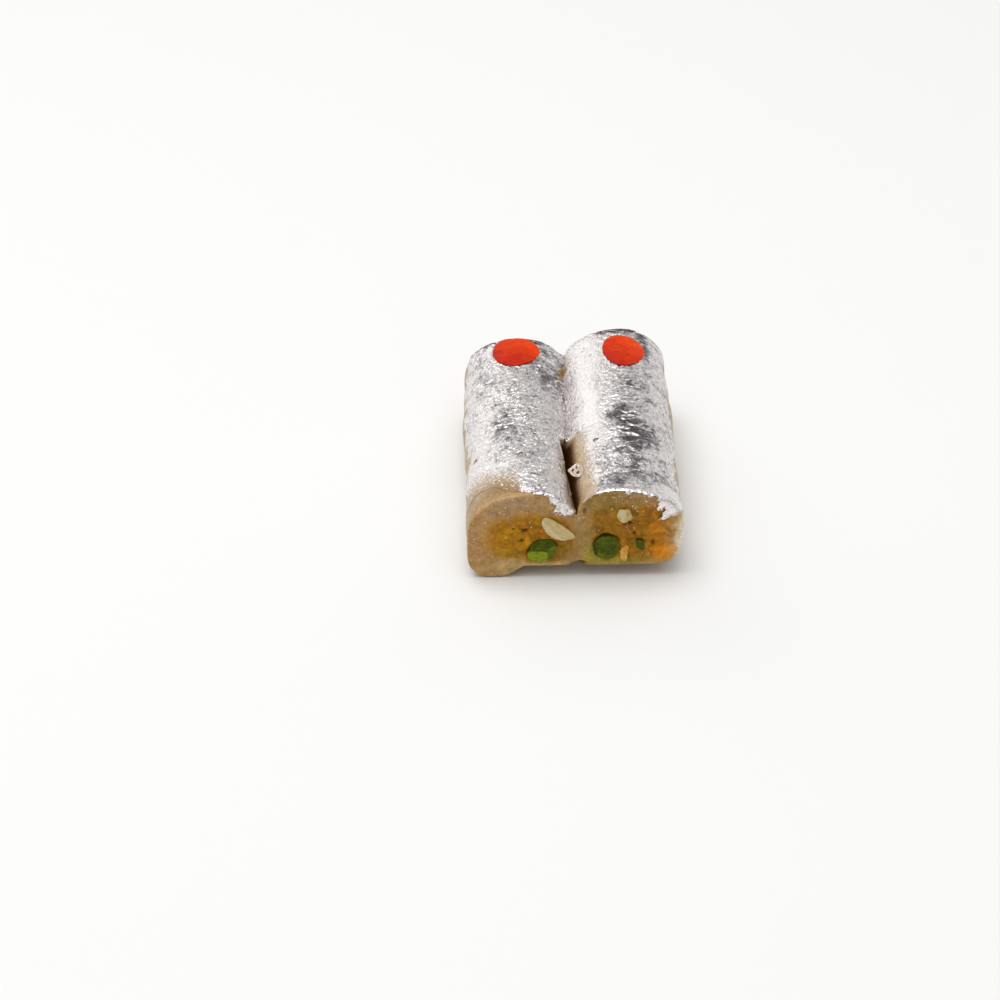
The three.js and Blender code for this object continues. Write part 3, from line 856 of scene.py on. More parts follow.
@dataclass(frozen=True)
class CutFace:
    """One cut end: how rough it is, the colours that run in it, and the painted light and painted shade on
    it.
    """

    end: End
    form: RollForm
    fillings: tuple[FillingForm, ...]
    nuts: tuple[NutPiece, ...]
    tints: Tints
    pits: Spots
    heaps: Spots
    background: float = 0.07
    mottling: float = 0.22
    mottle_layers: Layers = ((1.0, 1.6), (0.8, 0.7))
    smooth_height: float = 0.09
    smooth_layers: Layers = ((0.8, 5.0), (0.5, 1.5), (0.35, 0.6))
    crumb_sizes: Pair = (1.9, 0.85)
    crumb_heights: Pair = (0.12, 0.08)
    crumb_spread: Trio = (0.6, 0.8, 0.75)
    # Each crumb's own tone, and the painted shade in the crevices between crumbs.
    crumb_shade: Pair = (0.16, 0.08)
    crumble: Pair = (-0.3, 1.6)
    creep: Pair = (-1.3, 1.8)
    ragged: Layers = ((0.9, 2.4), (0.45, 0.8))
    pocket_edge: Pair = (0.9, 1.25)
    # How deep a pit sinks, and how much painted shade darkens it.
    pit_depth_and_shade: float = 0.8

    @property
    def y(self) -> float:
        """Where the face is."""
        return self.form.front if self.end is End.FRONT else self.form.back

    @property
    def row(self) -> int:
        """Its place among the rows of a mesh that runs from the front to the back."""
        return 0 if self.end is End.FRONT else -1

    @property
    def share(self) -> float:
        """How far along the roll it is."""
        return 0.0 if self.end is End.FRONT else 1.0

    @property
    def seed(self) -> int:
        """A number of its own for its unevenness."""
        return 21 + self.end.value

    def bent(self, x: Array, z: Array) -> Array:
        """Moves each place a little, so that what is drawn there comes out ragged.

        Args:
            x: Each place across.
            z: Its height.

        Returns:
            The new x and z per place.
        """
        flat = np.column_stack([x, z])
        moves = [layered(flat, self.ragged, self.seed + shift, 0) for shift in (11, 12)]
        return flat + np.column_stack(moves)

    def depth(self, x: Array, z: Array) -> Array:
        """How far inside a filling each place is."""
        return np.max([f.depth(x, z, self.share) for f in self.fillings], axis=0)

    def crumbly(self, x: Array, z: Array) -> Array:
        """How crumbly each place is, from paste to filling."""
        return smoothstep(self.depth(*self.bent(x, z).T), *self.crumble)

    def loose(self, x: Array, z: Array) -> Array:
        """How many loose grains stand at each place, from 0 to 1."""
        heaps = sum(heap.at(x, z) for heap in self.heaps)
        return np.clip(self.background * self.crumbly(x, z) + heaps, 0.0, 1.0)

    def dye(self, x: Array, z: Array) -> Array:
        """Colours the cut, ready for a shader, with painted light in spots near the right edge, and painted
        shade in pits and in the crevices between crumbs.

        Args:
            x: Each place across.
            z: Its height.

        Returns:
            One colour per place.
        """
        across, up = self.bent(x, z).T
        amber = smoothstep(self.depth(across, up), *self.creep)[:, None]
        colour = (1.0 - amber) * linear(Hue.PASTE.value) + amber * linear(Hue.AMBER.value)
        flat = np.column_stack([x, z])
        mottle = layered(flat, self.mottle_layers, self.seed + 5)
        # Some tints are painted light: a near-white glow and a honey colour where light shines through the
        # right edge.
        for hue, spot in self.tints:
            share = spot.at(across, up)[:, None]
            colour = (1.0 - share) * colour + share * linear(hue.value)
        colour = colour * (1.0 + self.mottling * mottle)[:, None]
        filled = self.crumbly(x, z)
        # Each crumb gets a tone of its own, and the crevices between crumbs get painted shade.
        mixed, crevice_shade = self.crumb_shade
        for size in self.crumb_sizes:
            rise, own = lumps(self.bent(x, z), size, self.seed)
            shade = 1.0 + filled * (mixed * (own - 0.5) - crevice_shade * (1.0 - rise) ** 2)
            colour = colour * shade[:, None]
        # Pits are painted with shade, as well as sunk into the relief.
        for pit in self.pits:
            share = self.pit_depth_and_shade * pit.at(x, z)[:, None]
            colour = (1.0 - share) * colour + share * linear(Hue.DARK.value)
        colour[:, 3] = 1.0
        return np.clip(colour, 0.0, 1.0)

    def relief(self, x: Array, z: Array) -> Array:
        """Finds how far each place stands out of the cut.

        Args:
            x: Each place across.
            z: Its height.

        Returns:
            The heights, below 0 in a nut's pocket.
        """
        flat = np.column_stack([x, z])
        height = self.smooth_height * layered(flat, self.smooth_layers, self.seed)
        filled = self.crumbly(x, z)
        least, spread, middle = self.crumb_spread
        for size, tall in zip(self.crumb_sizes, self.crumb_heights, strict=True):
            rise, own = lumps(self.bent(x, z), size, self.seed)
            height += filled * tall * (rise * (least + spread * own) - middle)
        for nut in self.nuts:
            if nut.end is self.end:
                height -= nut.pocket * (1.0 - smoothstep(nut.reach(x, z), *self.pocket_edge))
        for pit in self.pits:
            height -= self.pit_depth_and_shade * pit.at(x, z)
        return height

    def raised(self, points: Array) -> Array:
        """Gives points of the flat cut moved to the real one."""
        moved = points.copy()
        moved[:, 1] = self.y + self.end.value * self.relief(points[:, 0], points[:, 2])
        return moved

    def cover(self, stitches: Stitches, rims: list[Array], spacing: float, seed: int) -> None:
        """Covers the cut between its outline and its holes.

        Args:
            stitches: The mesh that it closes.
            rims: The numbers of the corners on the outline, then on each hole.
            spacing: How far apart the new corners are.
            seed: For their scatter.
        """
        corners = np.concatenate(stitches.points)
        outline, *holes = (corners[rim][:, [0, 2]] for rim in rims)
        spots, triangles = filled_ring(outline, holes, spacing, seed)
        new = stitches.points_in(self.raised(at_station(spots[:, 0], self.y, spots[:, 1])))
        stitches.faces_on(np.concatenate([*rims, new]), triangles)


@dataclass
class Paste:
    """The cashew paste: two lobes in one body, with a channel for each filling."""

    form: RollForm
    fillings: tuple[FillingForm, ...]
    faces: tuple[CutFace, CutFace]
    row_step: float = 0.44
    lobe_points: int = 124
    under_points: int = 54
    slit_points: int = 15
    slit_roundness: Pair = (1.5, 0.3)
    # Where and how strongly the slit's walls are painted with shade, darker towards its bottom.
    slit_shades: tuple[Pair, Pair] = ((-0.7, 2.0), (-1.1, 2.7))
    slit_start: Pair = (0.3, 1.5)
    slit_stop: Pair = (-0.5, 1.5)
    slit_lowest: float = 9.0
    cut_fade: Pair = (0.4, 3.6)
    # Spots of painted shade and shadow on the outer paste.
    damp: Spots = ()
    fine_steps: int = 260
    front_round: float = 0.45
    round_steps: int = 4
    cut_spacing: float = 0.3
    ring_points: int = 150
    channel_rows: int = 10
    grain_height: float = 0.05
    grain_layers: Layers = ((0.7, 2.8), (0.4, 1.1))
    middle_height: float = 11.0

    def outline(self, y: float, inset: float) -> Array:
        """Draws the paste's closed outline.

        Args:
            y: The station.
            inset: How far inside the true outline it lies.

        Returns:
            Three coordinates per point.
        """
        form = self.form
        _, depth = form.slit(y)
        lobes = {}
        for side in Side:
            angles = np.linspace(form.lip(side, y, 0.6 * inset), -90.0, self.fine_steps)
            lobes[side] = evenly(form.surface(side, y, angles, -inset), self.lobe_points)
        left, right = lobes[Side.LEFT], lobes[Side.RIGHT][::-1]
        under_x = np.linspace(left[-1, 0], right[0, 0], self.under_points + 2)[1:-1]
        under = at_station(under_x, y, form.underside(under_x, y) + inset)
        seam = form.seam_x(y)
        bottom = min(left[0, 2], right[-1, 2]) - depth
        walls = []
        for lip, roundness in zip((right[-1], left[0]), self.slit_roundness, strict=True):
            share = np.linspace(0.0, 1.0, self.slit_points // 2 + 2)[1:]
            x = seam + (lip[0] - seam) * (1.0 - share) ** roundness
            walls.append(at_station(x, y, lip[2] + (bottom - lip[2]) * share))
        return np.concatenate([left, under, right, walls[0], walls[1][-2::-1]])

    def stations(self) -> list[Pair]:
        """Places the rows along the roll.

        Returns:
            The station and the inset of each.
        """
        form = self.form
        turns = np.linspace(0.0, np.pi / 2, self.round_steps + 1)
        rows = [
            (form.front + self.front_round * (1 - math.cos(t)), self.front_round * (1 - math.sin(t)))
            for t in turns
        ]
        first, last = form.front + self.front_round, form.back - form.far_round
        count = round((last - first) / self.row_step)
        rows += [(y, 0.0) for y in np.linspace(first, last, count + 1)[1:]]
        rows += [(last + form.far_round * math.sin(t), 0.0) for t in turns[1:]]
        return rows

    def grid(self) -> Array:
        """Makes the outer surface, with its fine hand-worked grain.

        Returns:
            Three coordinates per point, row by row.
        """
        grid = np.stack([self.outline(y, inset) for y, inset in self.stations()])
        along = np.gradient(grid, axis=0)
        around = np.roll(grid, -1, axis=1) - np.roll(grid, 1, axis=1)
        normals = np.cross(along, around)
        normals /= np.maximum(np.linalg.norm(normals, axis=-1, keepdims=True), 1e-9)
        outwards = (normals[:, :, 2] * (grid[:, :, 2] - self.middle_height)).sum() > 0
        flat = grid.reshape(-1, 3)
        height = self.grain_height * layered(flat, self.grain_layers, 5).reshape(grid.shape[:2])
        height *= smoothstep(grid[:, :, 2], 0.2, 1.5)
        height[0] = height[-1] = 0.0
        return grid + normals * (height if outwards else -height)[..., None]

    def build(self, material: Material) -> Object:
        """Makes the closed body: outer surface, two cut faces and two channels.

        Args:
            material: Its finish.

        Returns:
            The finished object.
        """
        stitches = Stitches()
        outer = self.grid()
        for face in self.faces:
            outer[face.row] = face.raised(outer[face.row])
        numbers = stitches.points_in(outer)
        stitches.grid_on(numbers, closed=True)
        rings = []
        for filling in self.fillings:
            stations = np.linspace(self.form.front, self.form.back, self.channel_rows + 1)
            rows = np.stack(
                [filling.outline(y, float(self.form.along(y)), self.ring_points) for y in stations]
            )
            for face in self.faces:
                rows[face.row] = face.raised(rows[face.row])
            rings.append(stitches.points_in(rows))
            stitches.grid_on(rings[-1], closed=True)
        for face in self.faces:
            rims = [ring[face.row] for ring in (numbers, *rings)]
            face.cover(stitches, rims, self.cut_spacing, seed=7)
        return stitches.to_object("cashew_paste", material, self.values(stitches), 50.0)

    def values(self, stitches: Stitches) -> dict[str, Array]:
        """Gives each corner its colour, with the cut faces' painted light and shade and painted shade in
        the slit, how much it takes that colour, and where painted shade and shadow darken the outside.

        Args:
            stitches: The mesh.

        Returns:
            Each attribute by its name.
        """
        points = np.concatenate(stitches.points)
        dye = np.tile(linear(Hue.CLAY.value), (len(points), 1))
        cut = np.zeros(len(points))
        for face in self.faces:
            near = 1.0 - smoothstep(np.abs(points[:, 1] - face.y), *self.cut_fade)
            close = near > 0
            dye[close] = face.dye(points[close, 0], points[close, 2])
            cut[close] = near[close]
        x, y, z = points.T
        # Painted shade in the slit: each wall darkens towards the bottom, down to the darkest brown, and
        # fades out at the slit's ends and low down.
        painted_slit_shade = np.zeros(len(points))
        for side, shades in zip(Side, self.slit_shades, strict=True):
            lip = self.form.surface(side, y, self.form.lip(side, y))
            here = ((x - self.form.seam_x(y)) * side.value > 0) & ((lip[:, 0] - x) * side.value > -0.3)
            painted_slit_shade = np.where(here, smoothstep(lip[:, 2] - z, *shades), painted_slit_shade)
        past = y - self.form.front
        painted_slit_shade *= (z > self.slit_lowest) * smoothstep(past, *self.slit_start)
        painted_slit_shade *= 1.0 - smoothstep(past - self.form.slit_length, *self.slit_stop)
        dye = dye * (1.0 - painted_slit_shade[:, None]) + painted_slit_shade[:, None] * np.array(linear(Hue.DARK.value))
        # Painted shadow at the front left, and painted shade where the leaf tore in the groove.
        damp = sum(spot.at(x, y) for spot in self.damp)
        # The cut share also carries the painted slit shade, so that the shader uses this colour there.
        return {"dye": dye, "cut": np.maximum(cut, painted_slit_shade), "damp": np.clip(damp, 0.0, 1.0)}


@dataclass
class Filling:
    """A rope of nut and sugar filling that runs from cut end to cut end."""

    name: str
    shape: FillingForm
    form: RollForm
    faces: tuple[CutFace, CutFace]
    cut_spacing: float = 0.25
    ring_points: int = 150
    inset: float = 0.15
    shoulder: float = 0.5
    rows: int = 8

    def build(self, material: Material) -> Object:
        """Makes the closed body with two crumbly cut faces.

        Args:
            material: Its finish.

        Returns:
            The finished object.
        """
        form = self.form
        inner = np.linspace(form.front + self.shoulder, form.back - self.shoulder, self.rows)
        stations = [(form.front, 0.0), *((y, self.inset) for y in inner), (form.back, 0.0)]
        rows = np.stack(
            [
                self.shape.outline(y, float(form.along(y)), self.ring_points, shrink)
                for y, shrink in stations
            ]
        )
        for face in self.faces:
            rows[face.row] = face.raised(rows[face.row])
        stitches = Stitches()
        numbers = stitches.points_in(rows)
        stitches.grid_on(numbers, closed=True)
        for face in self.faces:
            face.cover(stitches, [numbers[face.row]], self.cut_spacing, seed=11)
        return stitches.to_object(self.name, material, self.values(stitches), 55.0)

    def values(self, stitches: Stitches) -> dict[str, Array]:
        """Gives each corner its colour, with the cut's painted light and painted shade, and how many loose
        grains stand there.

        Args:
            stitches: The mesh.

        Returns:
            Each attribute by its name.
        """
        points = np.concatenate(stitches.points)
        x, z = points[:, 0], points[:, 2]
        dye = np.tile(linear(Hue.AMBER.value), (len(points), 1))
        crumbs = np.zeros(len(points))
        for face in self.faces:
            near = np.abs(points[:, 1] - face.y) < 2.0 * self.shoulder
            dye[near] = face.dye(x[near], z[near])
            crumbs[near] = face.loose(x[near], z[near])
            for nut in face.nuts:
                if nut.end is face.end:
                    crumbs[near] *= smoothstep(nut.reach(x[near], z[near]), 0.95, 1.25)
        return {"dye": dye, "crumbs": crumbs}


@dataclass(frozen=True)
class Patch:
    """Where the leaf wore off the front of a lobe's outer flank, with a speckled edge."""

    retreat: float = 6.0
    full_below: float = 45.0
    gone_above: float = 96.0
    ragged: float = 1.0
    fade: float = 12.0
    bare: float = 0.95


@dataclass(frozen=True)
class Drape:
    """A tongue of leaf that hangs over the cut between two angles of the lobe, in strands."""

    start: float
    stop: float
    hang: float
    skew: float = 1.25
    strands: float = 0.5


@dataclass
class SilverLeaf:
    """The silver leaf on one lobe: a crinkled skin with torn edges that bridges the groove."""

    name: str
    side: Side
    form: RollForm
    edge_angle: float
    edge_seed: float
    slit_margin: float
    slit_wear: float
    drapes: tuple[Drape, ...]
    calm: Spots
    # Spots that paint the silver with more or less dark reflection.
    dull: Spots
    worn: Spots
    # Spots where the paste under worn leaf gets painted shade and shadow.
    damp: Spots = ()
    patch: Patch | None = None
    step: float = 0.25
    columns: int = 168
    fine_steps: int = 320
    lowest_angle: float = -14.0
    hang_rows: int = 20
    lift: Pair = (0.03, 0.3)
    fold: float = 0.35
    fringe: float = 0.9
    fringe_least: float = 0.25
    fringe_layers: Layers = ((1.0, 5.0), (0.9, 1.4))
    fold_rates: Pair = (0.2, 0.4)
    fold_gap: float = 0.1
    lift_over: Pair = (0.2, 3.0)
    margin_fade: float = 17.0
    edge_sway: float = 11.0
    edge_wear: float = 2.2
    waves: tuple[Trio, ...] = ((0.45, 0.31, 1.0), (0.34, 0.97, 2.3), (0.2, 2.1, 0.7))

    def sway(self, y: Array) -> Array:
        """How far the torn lower edge wanders, between -1 and 1."""
        return sum(tall * np.sin(rate * y + shift * self.edge_seed) for tall, rate, shift in self.waves)

    def hang_at(self, angle: Array) -> Array:
        """Finds how far down the cut the leaf hangs.

        Args:
            angle: The angle of each point.

        Returns:
            The lengths.
        """
        torn = layered(angle[:, None], self.fringe_layers, 2)
        hang = self.fringe_least + self.fringe * np.maximum(torn, 0.0)
        for drape in self.drapes:
            share = np.clip((angle - drape.start) / (drape.stop - drape.start), 0.0, 1.0)
            tongue = np.sin(np.pi * share**drape.skew) ** 0.8
            hang = np.maximum(hang, drape.hang * tongue * (1.0 + drape.strands * torn))
        return hang

    def row(self, y: float, out: float) -> Array:
        """One row of the leaf's grid, from the wall to the middle of the groove.

        Args:
            y: The station.
            out: How far off the paste it is.

        Returns:
            Per point three coordinates, then the angle.
        """
        form = self.form
        lip = form.lip(self.side, y)
        angles = np.linspace(self.lowest_angle, lip, self.fine_steps)
        line = np.column_stack([form.surface(self.side, y, angles, out), angles])
        if y > form.front + form.slit_length - 1.0:
            ends = [form.surface(side, y, form.lip(side, y), out) for side in Side]
            bridge = np.array([[*((ends[0] + ends[1]) / 2.0), lip]])
            bridge[0, 2] -= 0.15
            line = np.concatenate([line, bridge])
        return evenly(line, self.columns)

    def build(self, crinkles: "LeafCrinkles", material: Material) -> Object:
        """Makes the leaf: a plain grid that the crinkle tree wrinkles, tears and thickens.

        Args:
            crinkles: The tree of nodes and its sizes.
            material: Its finish.

        Returns:
            The finished object.
        """
        form = self.form
        count = round(form.length / self.step)
        stations = np.linspace(form.front, form.back - 0.05, count + 1)
        rows = np.stack([self.row(y, 0.0) for y in stations])
        edge, ragged, wear = self.edges(rows)
        out = self.lift[0] + (self.lift[1] - self.lift[0]) * smoothstep(edge, *self.lift_over)
        for i, station in enumerate(stations):
            lifted = self.row(station, self.lift[1])
            share = (out[i] / self.lift[1])[:, None]
            rows[i, :, :3] += (lifted[:, :3] - rows[i, :, :3]) * share
        first = rows[0]
        hang = self.hang_at(first[:, 3])
        hung = []
        for drop in self.step * np.arange(self.hang_rows, 0, -1):
            line = form.surface(self.side, form.front, first[:, 3], self.lift[0] - drop)
            down = np.full(self.columns, drop)
            folds = bumps(np.column_stack([first[:, 3], down]) * self.fold_rates, 1.0, 6)
            out_by = self.lift[0] + self.fold_gap + self.fold * (0.5 + folds) * min(drop, 1.0)
            line[:, 1] = form.front - out_by
            hung.append(np.column_stack([line, first[:, 3]]))
        front_edge = hang[None] - self.step * np.arange(self.hang_rows, 0, -1)[:, None]
        front_edge = np.minimum(front_edge, edge[0][None])
        grid = np.concatenate([np.stack(hung), rows])
        grid[self.hang_rows, :, 1] -= self.lift[0]
        self.round_off(grid)
        edge = np.concatenate([front_edge, edge])
        ragged = np.concatenate([np.full_like(front_edge, 0.5), ragged])
        wear = np.concatenate([np.repeat(wear[:1], self.hang_rows, axis=0), wear])
        stitches = Stitches()
        stitches.grid_on(stitches.points_in(grid[..., :3]), closed=False)
        values = {"edge": edge.ravel() * MM, "ragged": ragged.ravel() * MM, "wear": wear.ravel()}
        for key, spots in (("calm", self.calm), ("dull", self.dull), ("damp", self.damp)):
            there = sum((spot.at(grid[..., 0], grid[..., 1]) for spot in spots), np.zeros(edge.shape))
            values[key] = np.clip(there, -1.0, 1.0).ravel()
        made = stitches.to_object(self.name, material, values, 180.0, closed=False)
        if self.side is Side.LEFT:
            made.data.flip_normals()
        return crinkles.apply(made, material)

    def round_off(self, grid: Array) -> None:
        """Rounds the fold where the leaf goes over the cut's edge.

        Args:
            grid: The leaf's points, which it moves.
        """
        for _ in range(3):
            for row in range(self.hang_rows - 2, self.hang_rows + 3):
                grid[row, :, :3] = (
                    grid[row - 1, :, :3] + 2.0 * grid[row, :, :3] + grid[row + 1, :, :3]
                ) / 4.0

    def edges(self, rows: Array) -> tuple[Array, Array, Array]:
        """How far inside the leaf each point is, how ragged its edge is, and how worn it is.

        Args:
            rows: The grid, with three coordinates and the angle.

        Returns:
            Three numbers per point.
        """
        form = self.form
        x, y, angle = rows[..., 0], rows[..., 1], rows[..., 3]
        steps = np.linalg.norm(np.diff(rows[..., :3], axis=1), axis=-1)
        arc = np.concatenate([np.zeros((len(rows), 1)), np.cumsum(steps, axis=1)], axis=1)
        torn_angle = self.edge_angle + self.edge_sway * self.sway(y[:, 0])
        torn_arc = np.array([np.interp(a, angle[i], arc[i]) for i, a in enumerate(torn_angle)])
        lip_x = form.surface(self.side, y, form.lip(self.side, y))[..., 0]
        slit_end = form.front + form.slit_length
        beside = 1.0 - smoothstep(y, slit_end - self.margin_fade, slit_end)
        from_seam = (x - lip_x) * self.side.value - self.slit_margin * beside
        beside_slit = (y < slit_end) & (angle > 90)
        limits = [
            (arc - torn_arc[:, None], 1.0, self.edge_wear, 1.0),
            (np.where(beside_slit, from_seam, 50.0), 0.5, self.slit_wear, 0.9),
        ]
        if self.patch is not None:
            by_angle = 1.0 - smoothstep(angle, self.patch.full_below, self.patch.gone_above)
            from_patch = np.where(by_angle > 0.02, y - form.front - self.patch.retreat * by_angle, 50.0)
            bare = self.patch.bare * smoothstep(by_angle, 0.0, 0.3)
            limits.append((from_patch, self.patch.ragged, self.patch.fade, bare))
        edge, ragged, wear = np.full_like(x, 50.0), np.ones_like(x), np.zeros_like(x)
        for distance, roughness, fade, bare in limits:
            ragged = np.where(distance < edge, roughness, ragged)
            edge = np.minimum(edge, distance)
            wear = np.maximum(wear, bare * (1.0 - smoothstep(distance, -0.6, fade)))
        for spot in self.worn:
            wear = np.maximum(wear, spot.at(x, y))
        return edge, ragged, wear


def new_tree(name: str, inputs: dict[str, str]) -> tuple[NodeTree, Sockets]:
    """Starts a tree that changes a mesh.

    Args:
        name: The tree's name.
        inputs: The kind of socket of each named input besides the mesh.

    Returns:
        The tree, and its inputs as nodes in it can use them.
    """
    tree = bpy.data.node_groups.new(name, "GeometryNodeTree")
    tree.interface.new_socket("Geometry", in_out="OUTPUT", socket_type="NodeSocketGeometry")
    for key, kind in {"Geometry": "Geometry", **inputs}.items():
        tree.interface.new_socket(key, in_out="INPUT", socket_type=f"NodeSocket{kind}")
    return tree, tree.nodes.new("NodeGroupInput").outputs


def end_tree(tree: NodeTree, geometry: NodeSocket, finish: NodeSocket) -> None:
    """Ends a tree: everything becomes one real mesh with its finish."""
    real = add(tree, "GeometryNodeRealizeInstances", (geometry,))
    dressed = add(tree, "GeometryNodeSetMaterial", {"Geometry": real, "Material": finish})
    add(tree, "NodeGroupOutput", (dressed,))


@dataclass
class LeafCrinkles:
    """The tree of nodes that turns a smooth skin into crinkled, torn silver leaf.

    Where calm is above 0 the leaf lies flat, with a few sharp ridges across it, and where it is
    below 0 it is smoothed on without them.
    """

    height: float = 0.16
    spacing: float = 1.5
    stretch: float = 1.35
    wander: float = 2.6
    sway_size: float = 2.6
    fold_width: float = 0.2
    fold_height: float = 0.55
    dent_size: float = 1.15
    dent_height: float = 2.6
    swell_size: float = 4.2
    swell_height: float = 2.4
    mean_height: float = 2.6
    calm_share: float = 0.18
    worn_share: float = 0.1
    ridge_height: float = 0.27
    ridge_spacing: float = 1.45
    ridge_width: float = 0.09
    ridge_squeeze: Trio = (0.34, 1.0, 0.34)
    ridge_wander: float = 1.4
    bite_size: float = 1.4
    bite_depth: float = 4.0
    hole_bite: float = 0.6
    hole_spacing: float = 3.4
    hole_radius: float = 0.6
    hole_share: float = 0.16
    thickness: float = 0.03
    seed: int = 4
    tree: NodeTree | None = field(default=None, init=False)

    def sizes(self) -> dict[str, float]:
        """Sizes the tree's named inputs.

        Returns:
            Their values, lengths in metres.
        """
        units = dict.fromkeys(("height", "spacing", "wander", "ridge_height", "ridge_spacing"), MM)
        units |= dict.fromkeys(("hole_spacing", "hole_radius"), MM)
        units |= dict.fromkeys(("stretch", "hole_share", "seed"), 1.0)
        return {key: getattr(self, key) * unit for key, unit in units.items()}

    def build(self) -> None:
        """Builds the tree, with a named input for each size."""
        kinds = {**dict.fromkeys(self.sizes(), "Float"), "leaf": "Material"}
        tree, given = new_tree("leaf crinkles", kinds)
        shift = add(tree, "ShaderNodeCombineXYZ", (given["seed"],) * 3)
        have = {key: given[key] for key in self.sizes()}
        have |= {key: add(tree, NAMED, {"Name": key}) for key in ("edge", "ragged", "calm", "wear")}
        have["start"] = add(tree, VECTOR_ADD, (add(tree, "GeometryNodeInputPosition"), shift))
        height, crest = self.crinkles(tree, have)
        normal = add(tree, "GeometryNodeInputNormal")
        offset = add(tree, SCALE, {0: normal, "Scale": height})
        moved = add(tree, "GeometryNodeSetPosition", {"Geometry": given["Geometry"], "Offset": offset})
        crested = {"Geometry": moved, "Name": "crest", "Value": crest}
        marked = add(tree, STORED, crested, domain="POINT")
        gone = {"Geometry": marked, "Selection": self.tears(tree, have)}
        torn = add(tree, "GeometryNodeDeleteGeometry", gone, domain="POINT", mode="ALL")
        end_tree(tree, torn, given["leaf"])
        self.tree = tree

    def crinkles(self, tree: NodeTree, have: dict[str, NodeSocket]) -> tuple[NodeSocket, NodeSocket]:
        """Adds the nodes that say how high the leaf stands at each place.

        Args:
            tree: The tree.
            have: Its inputs, the skin's own values and where each point starts.

        Returns:
            The height, and how near a sharp ridge's crest each place is.
        """
        start = have["start"]
        across = add(tree, "ShaderNodeCombineXYZ", (have["stretch"], 1.0, have["stretch"]))
        squeezed = add(tree, VECTOR_MULTIPLY, (start, across))
        sway = add(tree, NOISE, pattern(start, self.sway_size), "Color")
        swayed = add(tree, VECTOR_MULTIPLY_ADD, (sway, have["wander"], squeezed))
        per_cell = add(tree, DIVIDE, (1.0, have["spacing"]))
        net = add(tree, VORONOI, {"Vector": swayed, "Scale": per_cell}, feature="DISTANCE_TO_EDGE")
        fold = add(tree, SMOOTH_RANGE, (net, 0.0, self.fold_width, self.fold_height, 0.0))
        dents = add(tree, NOISE, pattern(start, self.dent_size, 3.0, 0.65))
        swell = add(tree, NOISE, pattern(start, self.swell_size, 1.0))
        uneven = add(tree, MULTIPLY_ADD, (dents, self.dent_height, fold))
        both = add(tree, MULTIPLY_ADD, (swell, self.swell_height, uneven))
        level = add(tree, SUBTRACT, (both, self.mean_height))
        flat = add(tree, ABSOLUTE, (have["calm"],))
        loose = add(tree, MAP_RANGE, (flat, 0.0, 1.0, 1.0, self.calm_share))
        kept = add(tree, MAP_RANGE, (have["wear"], 0.0, 1.0, 1.0, self.worn_share))
        free = add(tree, MULTIPLY, (loose, kept))
        strength = add(tree, MULTIPLY, (have["height"], free))
        first = add(tree, MULTIPLY, (level, strength))

        flatter = add(tree, VECTOR_MULTIPLY, (start, self.ridge_squeeze))
        waved = add(tree, VECTOR_MULTIPLY_ADD, (sway, (0.0, self.ridge_wander * MM, 0.0), flatter))
        per_ridge = add(tree, DIVIDE, (1.0, have["ridge_spacing"]))
        ridges = add(tree, NOISE, {"Vector": waved, "Scale": per_ridge, "Detail": 0.0})
        centred = add(tree, SUBTRACT, (ridges, 0.5))
        off_crest = add(tree, ABSOLUTE, (centred,))
        crest = add(tree, SMOOTH_RANGE, (off_crest, 0.0, self.ridge_width, 1.0, 0.0))
        ridged = add(tree, MAXIMUM, (have["calm"], 0.0))
        tall = add(tree, MULTIPLY, (have["ridge_height"], ridged))
        return add(tree, MULTIPLY_ADD, (crest, tall, first)), crest

    def tears(self, tree: NodeTree, have: dict[str, NodeSocket]) -> NodeSocket:
        """Adds the nodes that say where the leaf is missing.

        Args:
            tree: The tree.
            have: Its inputs, the skin's own values and where each point starts.

        Returns:
            Above 0 where there is no leaf.
        """
        start = have["start"]
        bites = add(tree, NOISE, pattern(start, self.bite_size, 3.0, 0.65))
        centred = add(tree, SUBTRACT, (bites, 0.5))
        wide = add(tree, MULTIPLY, (centred, self.bite_depth))
        bitten = add(tree, MULTIPLY_ADD, (wide, have["ragged"], have["edge"]))
        outside = add(tree, LESS_THAN, (bitten, 0.0))
        per_hole = add(tree, DIVIDE, (1.0, have["hole_spacing"]))
        cells = add(tree, VORONOI, {"Vector": start, "Scale": per_hole}, feature="F1").node.outputs
        luck = add(tree, "FunctionNodeSeparateColor", (cells["Color"],)).node.outputs
        chosen = add(tree, LESS_THAN, (luck[0], have["hole_share"]))
        radius = add(tree, MULTIPLY, (luck[1], have["hole_radius"]))
        reach = add(tree, MULTIPLY, (cells["Distance"], have["hole_spacing"]))
        uneven = add(tree, MULTIPLY_ADD, (wide, self.hole_bite * MM, reach))
        in_hole = add(tree, LESS_THAN, (uneven, radius))
        hole = add(tree, MULTIPLY, (chosen, in_hole))
        return add(tree, MAXIMUM, (outside, hole))

    def untie(self, mesh: bpy.types.Mesh) -> None:
        """Takes out the points at which only the corners of a torn skin still touch.

        Args:
            mesh: The skin, before it gets its thickness.
        """
        body = bmesh.new()
        body.from_mesh(mesh)
        while ties := [v for v in body.verts if sum(e.is_boundary for e in v.link_edges) > 2]:
            bmesh.ops.delete(body, geom=ties, context="VERTS")
        loose = [v for v in body.verts if not v.link_faces]
        bmesh.ops.delete(body, geom=loose, context="VERTS")
        body.to_mesh(mesh)
        body.free()

    def apply(self, leaf: Object, material: Material) -> Object:
        """Crinkles and tears a skin, thickens it and makes it a plain mesh.

        Args:
            leaf: The skin, with its own values.
            material: The leaf's finish.

        Returns:
            The same object with its new mesh.
        """
        modifier = leaf.modifiers.new("crinkles", "NODES")
        modifier.node_group = self.tree
        set_inputs(modifier, {**self.sizes(), "leaf": material})
        made_plain(leaf)
        self.untie(leaf.data)
        solidify = leaf.modifiers.new("thickness", "SOLIDIFY")
        solidify.thickness = self.thickness * MM
        solidify.offset = -1.0
        return made_plain(leaf)


